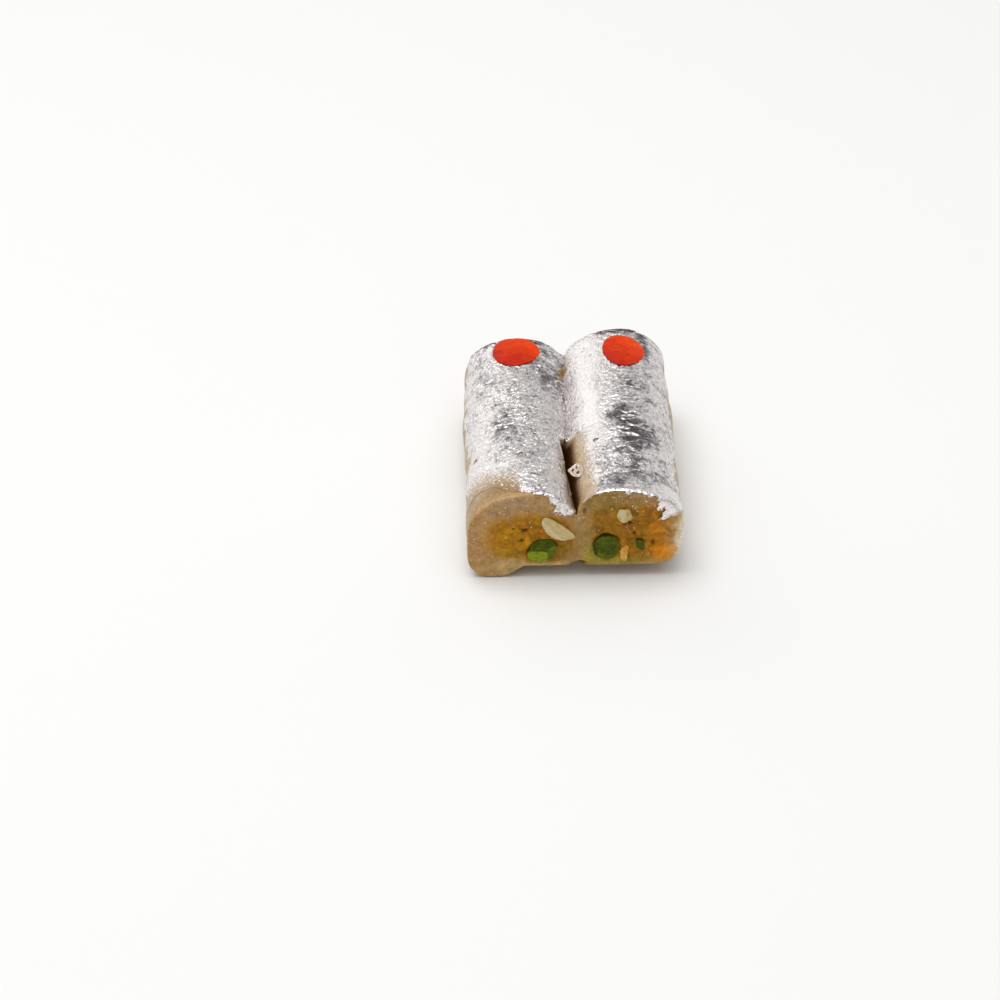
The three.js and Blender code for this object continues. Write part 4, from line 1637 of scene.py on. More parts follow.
@dataclass
class LeafBits:
    """Loose bits of silver leaf: a lacy scrap across the slit, and flecks that stick to the cut."""

    form: RollForm
    face: CutFace
    outline: Array
    clusters: tuple[tuple[Spot, int], ...]
    scrap: tuple[Pair, ...] = (
        (-1.25, -18.5), (-0.6, -18.0), (-0.1, -17.6), (0.5, -17.3), (0.95, -17.1), (1.5, -17.9),
        (1.9, -19.5), (2.15, -21.6), (1.7, -23.0), (1.05, -22.7), (0.3, -22.0), (-0.3, -21.0),
        (-0.8, -19.7),
    )
    holes: Spots = spots((-0.1, -19.2, 0.26, 0.55), (0.73, -18.7, 0.22, 0.6), (0.95, -20.9, 0.38, 0.5))
    radius: Pair = (0.1, 0.32)
    corners: int = 7
    thickness: float = 0.04
    scrap_points: int = 70
    scrap_spacing: float = 0.14
    hole_points: int = 18
    frayed: float = 0.07
    rippled: float = 0.12
    lift: float = 0.2
    wear: Pair = (0.55, 0.6)
    seed: int = 8

    def build(self, material: Material) -> Object:
        """Makes the bits, as one object of closed sheets.

        Args:
            material: The leaf's finish.

        Returns:
            The finished object.
        """
        stitches = Stitches()
        rng = np.random.default_rng(self.seed)
        for spot, count in self.clusters:
            places = rng.normal((spot.x, spot.y), (spot.reach_x / 1.6, spot.reach_y / 1.6), (count, 2))
            for place in places[inside(places, self.outline)]:
                self.add_fleck(stitches, rng, place)
        flecks = stitches.count
        self.add_scrap(stitches)
        wear = np.where(np.arange(stitches.count) < flecks, *self.wear)
        return stitches.to_object("leaf_bits", material, {"wear": wear}, 40.0)

    def add_fleck(self, stitches: Stitches, rng: np.random.Generator, place: Array) -> None:
        """Adds one torn fleck, a little askew on the cut.

        Args:
            stitches: The mesh.
            rng: The random draws.
            place: Its x and z.
        """
        turn = np.sort(rng.uniform(0.0, math.tau, self.corners))
        reach = rng.uniform(*self.radius) * rng.uniform(0.45, 1.0, self.corners)
        x, z = place[0] + reach * np.cos(turn), place[1] + reach * np.sin(turn)
        tilt = rng.uniform(-0.5, 0.5, 2)
        out = float(self.face.relief(place[:1], place[1:])[0]) + 2.0 * self.thickness
        out = out + tilt[0] * (x - place[0]) + tilt[1] * (z - place[1]) + self.radius[0]
        drop = np.array([0.0, -self.face.end.value * self.thickness, 0.0])
        loop = np.column_stack([x, self.face.y + self.face.end.value * out, z])
        stitches.sheet_on([loop], np.empty((0, 3)), [list(range(self.corners))], drop)

    def add_scrap(self, stitches: Stitches) -> None:
        """Adds the lacy scrap that lies on both lips of the slit.

        Args:
            stitches: The mesh.
        """
        ring = evenly(np.array([(x, y, 0.0) for x, y in (*self.scrap, self.scrap[0])]), self.scrap_points)
        ring = ring[:-1, :2]
        ring = ring + self.frayed * np.column_stack([bumps(ring, 0.3, 1), bumps(ring, 0.3, 2)])
        turn = np.linspace(0.0, math.tau, self.hole_points, endpoint=False)
        holes = [
            np.column_stack([h.x + h.reach_x * np.cos(turn), h.y + h.reach_y * np.sin(turn)])
            for h in self.holes
        ]
        inner, faces = filled_ring(ring, holes, self.scrap_spacing, seed=3)
        loops = [self.draped(part) for part in (ring, *holes)]
        stitches.sheet_on(loops, self.draped(inner), faces, np.array([0.0, 0.0, -self.thickness]))

    def draped(self, flat: Array) -> Array:
        """Lays places in plan on the roll.

        Args:
            flat: Their x and y.

        Returns:
            Three coordinates per place.
        """
        form, (x, y) = self.form, flat.T
        left, right = (form.surface(side, y, form.lip(side, y)) for side in Side)
        share = np.clip((x - left[:, 0]) / (right[:, 0] - left[:, 0]), 0.0, 1.0)
        across = left[:, 2] + (right[:, 2] - left[:, 2]) * share
        beside = form.surface(Side.RIGHT, y, form.angle_above(Side.RIGHT, x, y))[:, 2]
        z = np.where(x > right[:, 0], beside, across)
        return np.column_stack([x, y, z + self.lift + self.rippled * bumps(flat, 0.7, 5)])


def set_inputs(modifier: bpy.types.NodesModifier, values: dict[str, object]) -> None:
    """Sets a nodes modifier's inputs, found by name, through their identifiers."""
    for item in modifier.node_group.interface.items_tree:
        if item.item_type == "SOCKET" and item.in_out == "INPUT" and item.name in values:
            modifier[item.identifier] = values[item.name]


def made_plain(piece: Object) -> Object:
    """Turns what a piece's modifiers make into its own mesh, and removes them.

    Args:
        piece: The piece.

    Returns:
        The same object.
    """
    graph = bpy.context.evaluated_depsgraph_get()
    mesh = bpy.data.meshes.new_from_object(piece.evaluated_get(graph), depsgraph=graph)
    plain = piece.data
    piece.modifiers.clear()
    piece.data = mesh
    bpy.data.meshes.remove(plain)
    mesh.name = piece.name
    mesh.shade_smooth()
    mesh.set_sharp_from_angle(angle=math.radians(75))
    return piece


@dataclass
class ColourDot:
    """A dab of red colour that dried on the leaf, with an edge nibbled by the crinkles."""

    name: str
    side: Side
    form: RollForm
    x: float
    y: float
    half_wide: float
    half_long: float
    base: float = 0.45
    rise: float = 0.38
    rim: float = 0.1
    rings: int = 30
    spokes: int = 150
    lobes: Pair = (0.05, 0.012)
    nibble: float = 0.035
    nibble_layers: Layers = ((1.0, 1.4), (0.7, 0.55))
    crinkle: float = 0.08
    crinkle_layers: Layers = ((1.0, 1.3), (0.6, 0.6))
    # How the painted light that turns the dab orange grows towards its back and right.
    thinness: Pair = (0.45, 0.35)

    def layer(self, lifted: bool) -> Array:
        """Makes one face of the dab, ring by ring from its middle.

        Args:
            lifted: Whether it is the upper one.

        Returns:
            Three coordinates per point.
        """
        form = self.form
        share = np.linspace(0.0, 1.0, self.rings + 1)[1:, None]
        turn = np.linspace(0.0, 2.0 * np.pi, self.spokes, endpoint=False)[None]
        spots = np.column_stack([9 * np.cos(turn[0]), 9 * np.sin(turn[0])])
        wander = 1.0 + self.lobes[0] * np.sin(3 * turn + self.x) + self.lobes[1] * np.sin(7 * turn)
        wander = wander + self.nibble * layered(spots, self.nibble_layers, 3)
        x = self.x + self.half_wide * share * wander * np.cos(turn)
        y = self.y + self.half_long * share * wander * np.sin(turn)
        y = np.minimum(y, form.back - 0.2)
        out = np.full_like(x, self.base)
        if lifted:
            flat = np.column_stack([x.ravel(), y.ravel()])
            relief = layered(flat, self.crinkle_layers, 8)
            out = out + self.rim + (self.rise - self.rim) * (1.0 - share**5)
            out = out + self.crinkle * relief.reshape(x.shape) * (1.0 - 0.6 * share)
        return form.surface(self.side, y, form.angle_above(self.side, x, y), out)

    def build(self, material: Material) -> Object:
        """Makes the closed dab.

        Args:
            material: Its finish.

        Returns:
            The finished object.
        """
        stitches = Stitches()
        faces = []
        for lifted in (True, False):
            points = self.layer(lifted)
            numbers = stitches.points_in(points)
            middle = stitches.points_in(points[0].mean(axis=0)[None])[0]
            stitches.grid_on(numbers, closed=True)
            inner = numbers[0]
            fan = [[int(middle), int(a), int(b)] for a, b in zip(inner, np.roll(inner, -1), strict=True)]
            stitches.faces += fan
            faces.append(numbers)
        stitches.grid_on(np.stack([faces[0][-1], faces[1][-1]]), closed=True)
        places = np.concatenate(stitches.points)
        across, back = (places[:, 0] - self.x) / self.half_wide, (places[:, 1] - self.y) / self.half_long
        # Painted light: the dab turns more orange towards its back and right.
        thin = np.clip(self.thinness[0] + self.thinness[1] * (across + back), 0.0, 1.0)
        return stitches.to_object(f"red_{self.name}", material, {"thin": thin}, 60.0)


@dataclass
class Crumbs:
    """Grains of sugar and nut that the knife left standing on a filling's cut faces."""

    density_per_mm2: float = 2.2
    radius: Pair = (0.1, 0.28)
    segments: int = 7
    rings: int = 5
    squash: Pair = (0.6, 1.3)
    seed: int = 12
    tone_seed: int = 77
    tree: NodeTree | None = field(default=None, init=False)

    def scatter(self, name: str, filling: Object, material: Material) -> Object:
        """Scatters the grains on a filling.

        Args:
            name: The new piece's name.
            filling: The filling, whose crumbs attribute says where they may stand.
            material: Their finish.

        Returns:
            The finished object.
        """
        piece = placed(name, filling.data.copy())
        modifier = piece.modifiers.new("scatter", "NODES")
        modifier.node_group = self.tree
        least, most = self.radius
        sizes = {"density": self.density_per_mm2 / MM**2, "least": least * MM, "most": most * MM}
        set_inputs(modifier, {**sizes, "seed": self.seed, "grain": material})
        made = made_plain(piece)
        made.data.materials.clear()
        made.data.materials.append(material)
        return made

    def build(self) -> None:
        """Builds the scatter tree, with a named input for each size."""
        kinds = {**dict.fromkeys(("density", "least", "most"), "Float"), "seed": "Int", "grain": "Material"}
        tree, given = new_tree("crumb scatter", kinds)
        seed = given["seed"]
        crumbs = add(tree, NAMED, {"Name": "crumbs"})
        density = add(tree, MULTIPLY, (crumbs, given["density"]))
        where = {"Mesh": given["Geometry"], "Density": density, "Seed": seed}
        spots = add(tree, "GeometryNodeDistributePointsOnFaces", where, distribute_method="RANDOM")
        ball = {"Segments": self.segments, "Rings": self.rings, "Radius": 1.0}
        grain = add(tree, "GeometryNodeMeshUVSphere", ball)
        turns = {0: (0.0,) * 3, 1: (math.tau,) * 3, "Seed": seed}
        turn = add(tree, RANDOM_VECTOR, turns)
        size = add(tree, RANDOM, {2: given["least"], 3: given["most"], "Seed": seed}, 1)
        shapes = {0: (self.squash[0],) * 3, 1: (self.squash[1],) * 3, "Seed": seed}
        shape = add(tree, RANDOM_VECTOR, shapes)
        scale = add(tree, SCALE, {0: shape, "Scale": size})
        standing = {"Points": spots, "Instance": grain, "Rotation": turn, "Scale": scale}
        placed = add(tree, "GeometryNodeInstanceOnPoints", standing)
        tone = add(tree, RANDOM, {2: 0.0, 3: 1.0, "Seed": self.tone_seed}, 1)
        toned = {"Geometry": placed, "Name": "tone", "Value": tone}
        end_tree(tree, add(tree, STORED, toned, domain="INSTANCE"), given["grain"])
        self.tree = tree


def new_material(name: str) -> tuple[Material, NodeTree]:
    """Starts a material with an empty tree.

    Args:
        name: Its name.

    Returns:
        The material and its tree.
    """
    material = bpy.data.materials.new(name)
    material.use_nodes = True
    material.node_tree.nodes.clear()
    return material, material.node_tree


@dataclass(frozen=True)
class FoodFinish:
    """What the foods' finishes share: fine grains, a soft shine and light that reaches in."""

    name: str
    roughness: float = 0.5
    ior: float = 1.45
    shine: float = 0.08
    see_through: float = 0.0
    light_reach: Trio = (1.0, 1.0, 1.0)
    reach_scale: float = 1.0
    grain_size: float = 0.5
    grain_depth: float = 0.12
    grain_detail: Pair = (2.0, 0.5)
    speck: str = "#ffffff"
    speck_share: float = 0.0
    speck_range: Pair = (0.64, 0.76)

    def look(self, tree: NodeTree, place: NodeSocket, grains: NodeSocket) -> Look:
        """Adds the nodes of the finish's own colour.

        Args:
            tree: The material's tree.
            place: Where each point is.
            grains: The pattern of its grains.

        Returns:
            The colour and the roughness.
        """
        raise NotImplementedError

    def speckled(
        self, tree: NodeTree, body: NodeSocket, shade: NodeSocket, grains: NodeSocket,
    ) -> NodeSocket:
        """Shades a colour, and lets the tallest grains show in the colour of the specks.

        Args:
            tree: The material's tree.
            body: The colour.
            shade: How light each place is.
            grains: The pattern of the grains.

        Returns:
            The new colour.
        """
        shaded = add(tree, SCALE, {0: body, "Scale": shade})
        share = add(tree, MAP_RANGE, (grains, *self.speck_range, 0.0, self.speck_share))
        mix = {MIX_FACTOR: share, MIX_A: shaded, MIX_B: linear(self.speck)}
        return add(tree, MIX, mix, MIX_RESULT)

    def build(self) -> Material:
        """Makes the finish.

        Returns:
            The material.
        """
        material, tree = new_material(self.name)
        place = add(tree, PLACE, out="Object")
        grains = add(tree, NOISE, pattern(place, self.grain_size, *self.grain_detail))
        colour, roughness = self.look(tree, place, grains)
        bump = add(tree, BUMP, {"Height": grains, "Strength": 1.0, "Distance": self.grain_depth * MM})
        surface = {
            "Base Color": colour, "Roughness": roughness, "IOR": self.ior,
            "Specular IOR Level": self.shine, "Subsurface Weight": self.see_through,
            "Subsurface Radius": self.light_reach, "Subsurface Scale": self.reach_scale * MM,
            "Normal": bump,
        }
        add(tree, "ShaderNodeOutputMaterial", (add(tree, PRINCIPLED, surface),))
        return material


@dataclass(frozen=True)
class PasteFinish(FoodFinish):
    """Cashew and sugar paste, kneaded and rolled: waxy, slightly see-through, finely grainy.

    Where it is cut it is moister and darker, and takes the colour that has run from the fillings, with
    painted light and painted shade in it. A painted shadow and painted shade darken the uncut paste in
    spots.
    """

    name: str = "cashew paste"
    pale: str = "#c8b295"
    deep: str = "#b49b7b"
    # The colour of the painted shade and shadow on the uncut paste.
    painted_shade_colour: str = "#93713f"
    speck: str = "#e6d6ba"
    speck_share: float = 0.55
    roughness: float = 0.45
    shine: float = 0.25
    see_through: float = 0.25
    light_reach: Trio = (1.0, 0.65, 0.4)
    reach_scale: float = 1.2
    cloud_size: float = 3.0
    cloud_detail: Pair = (4.0, 0.6)
    cloud_range: Pair = (0.35, 0.65)
    grain_size: float = 0.65
    grain_depth: float = 0.08
    grain_detail: Pair = (3.0, 0.7)
    grain_shade: Ramp = (0.3, 0.7, 0.72, 1.22)

    def outside(self, tree: NodeTree, place: NodeSocket) -> NodeSocket:
        """Adds the cloudy colour of the uncut paste, which also shows through worn leaf, darkened where
        painted shade and shadow fall.

        Args:
            tree: The material's tree.
            place: Where each point is.

        Returns:
            The colour.
        """
        clouds = add(tree, NOISE, pattern(place, self.cloud_size, *self.cloud_detail))
        share = add(tree, MAP_RANGE, (clouds, *self.cloud_range))
        mix = {MIX_FACTOR: share, MIX_A: linear(self.deep), MIX_B: linear(self.pale)}
        unshaded = add(tree, MIX, mix, MIX_RESULT)
        # Painted shade and shadow darken the paste where their spots lie.
        damp = add(tree, ATTRIBUTE, out="Fac", attribute_name="damp")
        mix = {MIX_FACTOR: damp, MIX_A: unshaded, MIX_B: linear(self.painted_shade_colour)}
        return add(tree, MIX, mix, MIX_RESULT)

    def look(self, tree: NodeTree, place: NodeSocket, grains: NodeSocket) -> Look:
        """Adds the colour: the cut's colour, with its painted light and painted shade, where it is cut, the
        cloudy paste elsewhere.
        """
        dye = add(tree, ATTRIBUTE, out="Color", attribute_name="dye")
        cut = add(tree, ATTRIBUTE, out="Fac", attribute_name="cut")
        mix = {MIX_FACTOR: cut, MIX_A: self.outside(tree, place), MIX_B: dye}
        body = add(tree, MIX, mix, MIX_RESULT)
        shade = add(tree, MAP_RANGE, (grains, *self.grain_shade))
        return self.speckled(tree, body, shade, grains), self.roughness


@dataclass(frozen=True)
class FillingFinish(FoodFinish):
    """Saffron sugar and ground nut, cooked to a moist crumb: glossy in spots, amber, grainy."""

    name: str = "saffron nut filling"
    speck: str = "#dda445"
    speck_share: float = 0.35
    wetness: Ramp = (0.4, 0.6, 0.3, 0.6)
    ior: float = 1.48
    shine: float = 0.16
    see_through: float = 0.5
    light_reach: Trio = (1.0, 0.5, 0.15)
    reach_scale: float = 1.4
    lump_size: float = 1.3
    lump_detail: Pair = (4.0, 0.65)
    lump_shade: Ramp = (0.32, 0.68, 0.82, 1.16)
    grain_size: float = 0.45
    grain_depth: float = 0.07
    grain_detail: Pair = (3.0, 0.7)

    def look(self, tree: NodeTree, place: NodeSocket, grains: NodeSocket) -> Look:
        """Adds the colour, darker and wetter between the lumps."""
        # The cut's colour carries painted shade in its pits.
        dye = add(tree, ATTRIBUTE, out="Color", attribute_name="dye")
        lump = add(tree, NOISE, pattern(place, self.lump_size, *self.lump_detail))
        shade = add(tree, MAP_RANGE, (lump, *self.lump_shade))
        roughness = add(tree, MAP_RANGE, (lump, *self.wetness))
        return self.speckled(tree, dye, shade, grains), roughness


@dataclass(frozen=True)
class NutFinish(FoodFinish):
    """The flesh of a nut: dense and waxy, from the colour of its skin to a fresh cut by its tone."""

    skin: str = "#bc9c5c"
    flesh: str = "#cfb982"
    cut: str = "#e0d0a6"
    roughness: float = 0.4
    ior: float = 1.47
    shine: float = 0.12
    see_through: float = 0.4
    light_reach: Trio = (0.7, 0.7, 0.25)
    vein_size: float = 0.9
    vein_detail: Pair = (4.0, 0.7)
    vein_swing: Ramp = (0.3, 0.7, -0.3, 0.3)
    grain_size: float = 0.3
    grain_depth: float = 0.06

    def look(self, tree: NodeTree, place: NodeSocket, grains: NodeSocket) -> Look:
        """Adds the colour, from skin through flesh to fresh cut, with veins."""
        veins = add(tree, NOISE, pattern(place, self.vein_size, *self.vein_detail))
        swing = add(tree, MAP_RANGE, (veins, *self.vein_swing))
        tone = add(tree, ATTRIBUTE, out="Fac", attribute_name="tone")
        share = add(tree, ADD, (tone, swing))
        colour = linear(self.skin)
        for start, lighter in ((0.0, self.flesh), (0.5, self.cut)):
            reached = add(tree, MAP_RANGE, (share, start, start + 0.5))
            mix = {MIX_FACTOR: reached, MIX_A: colour, MIX_B: linear(lighter)}
            colour = add(tree, MIX, mix, MIX_RESULT)
        return colour, self.roughness


@dataclass(frozen=True)
class DotFinish(FoodFinish):
    """Food colour paste, dabbed on and dried: dense matte red, painted more orange towards its back and
    right as light that falls there.
    """

    name: str = "red food colour"
    red: str = "#b32011"
    orange: str = "#e8480a"
    cloud_size: float = 2.6
    cloud_detail: Pair = (4.0, 0.65)
    cloud_swing: Ramp = (0.35, 0.65, -0.2, 0.2)

    def look(self, tree: NodeTree, place: NodeSocket, grains: NodeSocket) -> Look:
        """Adds the colour, cloudy between red and orange, and more orange on its painted lit side."""
        thin = add(tree, ATTRIBUTE, out="Fac", attribute_name="thin")
        clouds = add(tree, NOISE, pattern(place, self.cloud_size, *self.cloud_detail))
        swing = add(tree, MAP_RANGE, (clouds, *self.cloud_swing))
        share = add(tree, ADD, (thin, swing), use_clamp=True)
        mix = {MIX_FACTOR: share, MIX_A: linear(self.red), MIX_B: linear(self.orange)}
        return add(tree, MIX, mix, MIX_RESULT), self.roughness


@dataclass(frozen=True)
class LeafFinish:
    """Beaten silver leaf, far thinner than paper: a bright metal mirror in tiny crinkles.

    Where it is worn the paste under it shows between the flakes that are left. Its base colour carries
    painted dark reflections in patches and specks, and painted highlights on ridge crests.
    """

    paste: PasteFinish
    silver: str = "#f4eeec"
    # The painted dark reflection that patches and specks of the silver take.
    dark_reflection_colour: str = "#453e44"
    roughness: float = 0.26
    worn_roughness: float = 0.5
    crinkle_size: float = 1.0
    crinkle_depth: float = 0.26
    fine_size: float = 0.36
    fine_depth: float = 0.09
    flake_size: float = 0.55
    blotch_size: float = 3.0
    speckle_size: float = 0.9
    squeeze: Trio = (1.35, 1.0, 1.35)
    dull_pull: float = 0.34
    calm_relief: float = 0.12
    streaks: Ramp = (0.42, 0.58, 0.7, 1.0)
    clearing: Ramp = (0.2, 0.8, 1.0, 0.0)
    patch_range: Pair = (0.54, 0.7)
    crowding: Ramp = (0.4, 0.62, 0.1, 0.75)
    speckle_range: Pair = (0.47, 0.62)
    flaking: Ramp = (0.36, 0.64, 0.1, 1.0)
    bare_range: Pair = (-0.1, 0.12)

    def relief(
        self, tree: NodeTree, calm: NodeSocket, crinkles: NodeSocket, fine: NodeSocket,
    ) -> NodeSocket:
        """Adds the crinkles that are too small for the mesh.

        Args:
            tree: The material's tree.
            calm: How flat each place lies.
            crinkles: The pattern of the crinkles.
            fine: The pattern of the finest ones.

        Returns:
            The bumpy normal.
        """
        flat = add(tree, ABSOLUTE, (calm,))
        loose = add(tree, MAP_RANGE, (flat, 0.0, 1.0, 1.0, self.calm_relief))
        first = add(tree, BUMP, {"Height": fine, "Strength": loose, "Distance": self.fine_depth * MM})
        deep = {"Height": crinkles, "Strength": loose, "Distance": self.crinkle_depth * MM, "Normal": first}
        return add(tree, BUMP, deep)

    def foil(
        self, tree: NodeTree, patchy: NodeSocket, crest: NodeSocket, flakes: NodeSocket,
        speckles: NodeSocket,
    ) -> NodeSocket:
        """Adds the silver's colour, with painted dark reflections in patches and specks and painted
        highlights on ridge crests.

        Args:
            tree: The material's tree.
            patchy: How strongly each place is painted with dark reflection.
            crest: How near a ridge's crest it is, where the painted dark gives way to a painted highlight.
            flakes: The pattern that breaks the painted dark patches up.
            speckles: The pattern of the small painted dark specks.

        Returns:
            The colour.
        """
        streaks = add(tree, MAP_RANGE, (flakes, *self.streaks))
        # Ridge crests are kept clear of the painted dark, a painted highlight.
        clear = add(tree, MAP_RANGE, (crest, *self.clearing))
        spread = add(tree, MAP_RANGE, (patchy, *self.patch_range, 0.0, streaks))
        patches = add(tree, MULTIPLY, (spread, clear))
        crowd = add(tree, MAP_RANGE, (patchy, *self.crowding))
        specks = add(tree, MAP_RANGE, (speckles, *self.speckle_range, 0.0, crowd))
        dimmed = add(tree, MAXIMUM, (patches, specks))
        mix = {MIX_FACTOR: dimmed, MIX_A: linear(self.silver), MIX_B: linear(self.dark_reflection_colour)}
        return add(tree, MIX, mix, MIX_RESULT)

    def build(self) -> Material:
        """Makes the finish.

        Returns:
            The material.
        """
        material, tree = new_material("silver leaf")
        place = add(tree, PLACE, out="Object")
        calm, wear, crest, dull = (
            add(tree, ATTRIBUTE, out="Fac", attribute_name=name)
            for name in ("calm", "wear", "crest", "dull")
        )
        squeezed = add(tree, "ShaderNodeMapping", {"Vector": place, "Scale": self.squeeze})
        crinkles, fine, flakes, blotches, speckles = (
            add(tree, NOISE, pattern(*row))
            for row in (
                (squeezed, self.crinkle_size, 3.0, 0.7, 0.5), (place, self.fine_size, 1.0),
                (place, self.flake_size, 4.0, 0.75), (place, self.blotch_size, 5.0, 0.7),
                (squeezed, self.speckle_size, 3.0, 0.65),
            )
        )
        level = add(tree, MAP_RANGE, (flakes, *self.flaking))
        past = add(tree, SUBTRACT, (wear, level))
        bare = add(tree, MAP_RANGE, (past, *self.bare_range))
        # How strongly each place is painted with dark reflection.
        patchy = add(tree, MULTIPLY_ADD, (dull, self.dull_pull, blotches))
        foil = self.foil(tree, patchy, crest, flakes, speckles)
        mix = {MIX_FACTOR: bare, MIX_A: foil, MIX_B: self.paste.outside(tree, place)}
        surface = {
            "Base Color": add(tree, MIX, mix, MIX_RESULT),
            "Metallic": add(tree, MAP_RANGE, (bare, 0.0, 1.0, 1.0, 0.0)),
            "Roughness": add(tree, MAP_RANGE, (bare, 0.0, 1.0, self.roughness, self.worn_roughness)),
            "Normal": self.relief(tree, calm, crinkles, fine),
        }
        add(tree, "ShaderNodeOutputMaterial", (add(tree, PRINCIPLED, surface),))
        return material


@dataclass(frozen=True)
class SkyCard:
    """A soft round card in the studio's sky: where it is, how wide, and how bright or dark."""

    azimuth: float
    elevation: float
    half_angle: float
    softness: float
    strength: float

    @property
    def direction(self) -> Vector:
        """The way to it. Azimuth 0 is behind the roll, and 90 to its right."""
        way = Vector((0.0, 1.0, 0.0))
        way.rotate(Euler((math.radians(self.elevation), 0.0, -math.radians(self.azimuth))))
        return way


@dataclass
class Studio:
    """The pale floor, the soft lights and the camera."""

    form: RollForm
    floor_half: float = 2500.0
    floor_colour: str = "#eeeeed"
    sky: float = 0.27
    backdrop: float = 0.95
    cards: tuple[SkyCard, ...] = (
        SkyCard(-60, 88, 34, 16, 1.0), SkyCard(-36, 14, 24, 14, 0.95), SkyCard(36, 8, 22, 14, 0.62),
        SkyCard(180, 34, 46, 24, 0.2),
    )
    key_place: Trio = (-200.0, 60.0, 1000.0)
    key_size: float = 700.0
    key_watts: float = 4.6
    azimuth: float = -1.36
    elevation: float = 34.6
    distance: float = 741.75
    lens: float = 120.96
    sensor: float = 36.0
    anchor: Trio = (0.5, -32.55, 1.1)
    anchor_pixel: Pair = (577.1, 572.4)
    picture: float = 1000.0

    def build(self) -> None:
        """Sets the scene up."""
        self.floor()
        self.world()
        self.key()
        self.camera()
        bpy.context.scene.view_settings.view_transform = "Standard"

    def floor(self) -> None:
        """Lays the plain floor."""
        half = self.floor_half * MM
        mesh = bpy.data.meshes.new("floor")
        corners = [(-half, -half, 0), (half, -half, 0), (half, half, 0), (-half, half, 0)]
        mesh.from_pydata(corners, [], [(0, 1, 2, 3)])
        material, tree = new_material("pale floor")
        surface = {"Base Color": linear(self.floor_colour), "Roughness": 0.5, "Specular IOR Level": 0.2}
        add(tree, "ShaderNodeOutputMaterial", (add(tree, PRINCIPLED, surface),))
        mesh.materials.append(material)
        placed("floor", mesh)

    def world(self) -> None:
        """Makes the sky: plain, with soft bright and dark cards that the leaf mirrors."""
        world = bpy.data.worlds.new("studio")
        world.use_nodes = True
        tree = world.node_tree
        tree.nodes.clear()
        way = add(tree, PLACE, out="Generated")
        total = add(tree, "ShaderNodeValue")
        total.default_value = self.sky
        for card in self.cards:
            facing = add(tree, DOT_PRODUCT, (way, card.direction), "Value")
            rim = math.cos(math.radians(card.half_angle + card.softness))
            core = math.cos(math.radians(max(card.half_angle - card.softness, 0.0)))
            spread = (facing, rim, core, 0.0, card.strength)
            share = add(tree, SMOOTH_RANGE, spread)
            total = add(tree, ADD, (total, share))
        total = add(tree, MAXIMUM, (total, 0.0))
        studio, plain = (
            add(tree, "ShaderNodeBackground", {"Color": (1, 1, 1, 1), "Strength": strength})
            for strength in (total, self.backdrop)
        )
        seen = add(tree, "ShaderNodeLightPath", out="Is Camera Ray")
        add(tree, "ShaderNodeOutputWorld", (add(tree, "ShaderNodeMixShader", (seen, studio, plain)),))
        bpy.context.scene.world = world

    def key(self) -> None:
        """Hangs the soft key light."""
        light = bpy.data.lights.new("key", "AREA")
        light.size = self.key_size * MM
        light.energy = self.key_watts
        lamp = placed("key", light)
        lamp.location = Vector(self.key_place) * MM
        lamp.rotation_euler = (-lamp.location).to_track_quat("-Z", "Y").to_euler()

    def camera(self) -> None:
        """Places the camera so that the anchor shows at its pixel."""
        data = bpy.data.cameras.new("camera")
        data.lens, data.sensor_width = self.lens, self.sensor
        data.clip_start, data.clip_end = 0.01, 20.0
        turn = Matrix.Rotation(math.radians(self.azimuth), 3, "Z") @ Matrix.Rotation(
            math.radians(90.0 - self.elevation), 3, "X"
        )
        right, up, back = turn.col
        per_pixel = self.sensor / self.lens / self.picture
        across = (self.anchor_pixel[0] - self.picture / 2) * per_pixel
        down = (self.anchor_pixel[1] - self.picture / 2) * per_pixel
        offset = (back - right * across + up * down) * self.distance
        eye = placed("camera", data)
        eye.rotation_euler = turn.to_euler()
        eye.location = (Vector(self.anchor) + offset) * MM
        bpy.context.scene.camera = eye


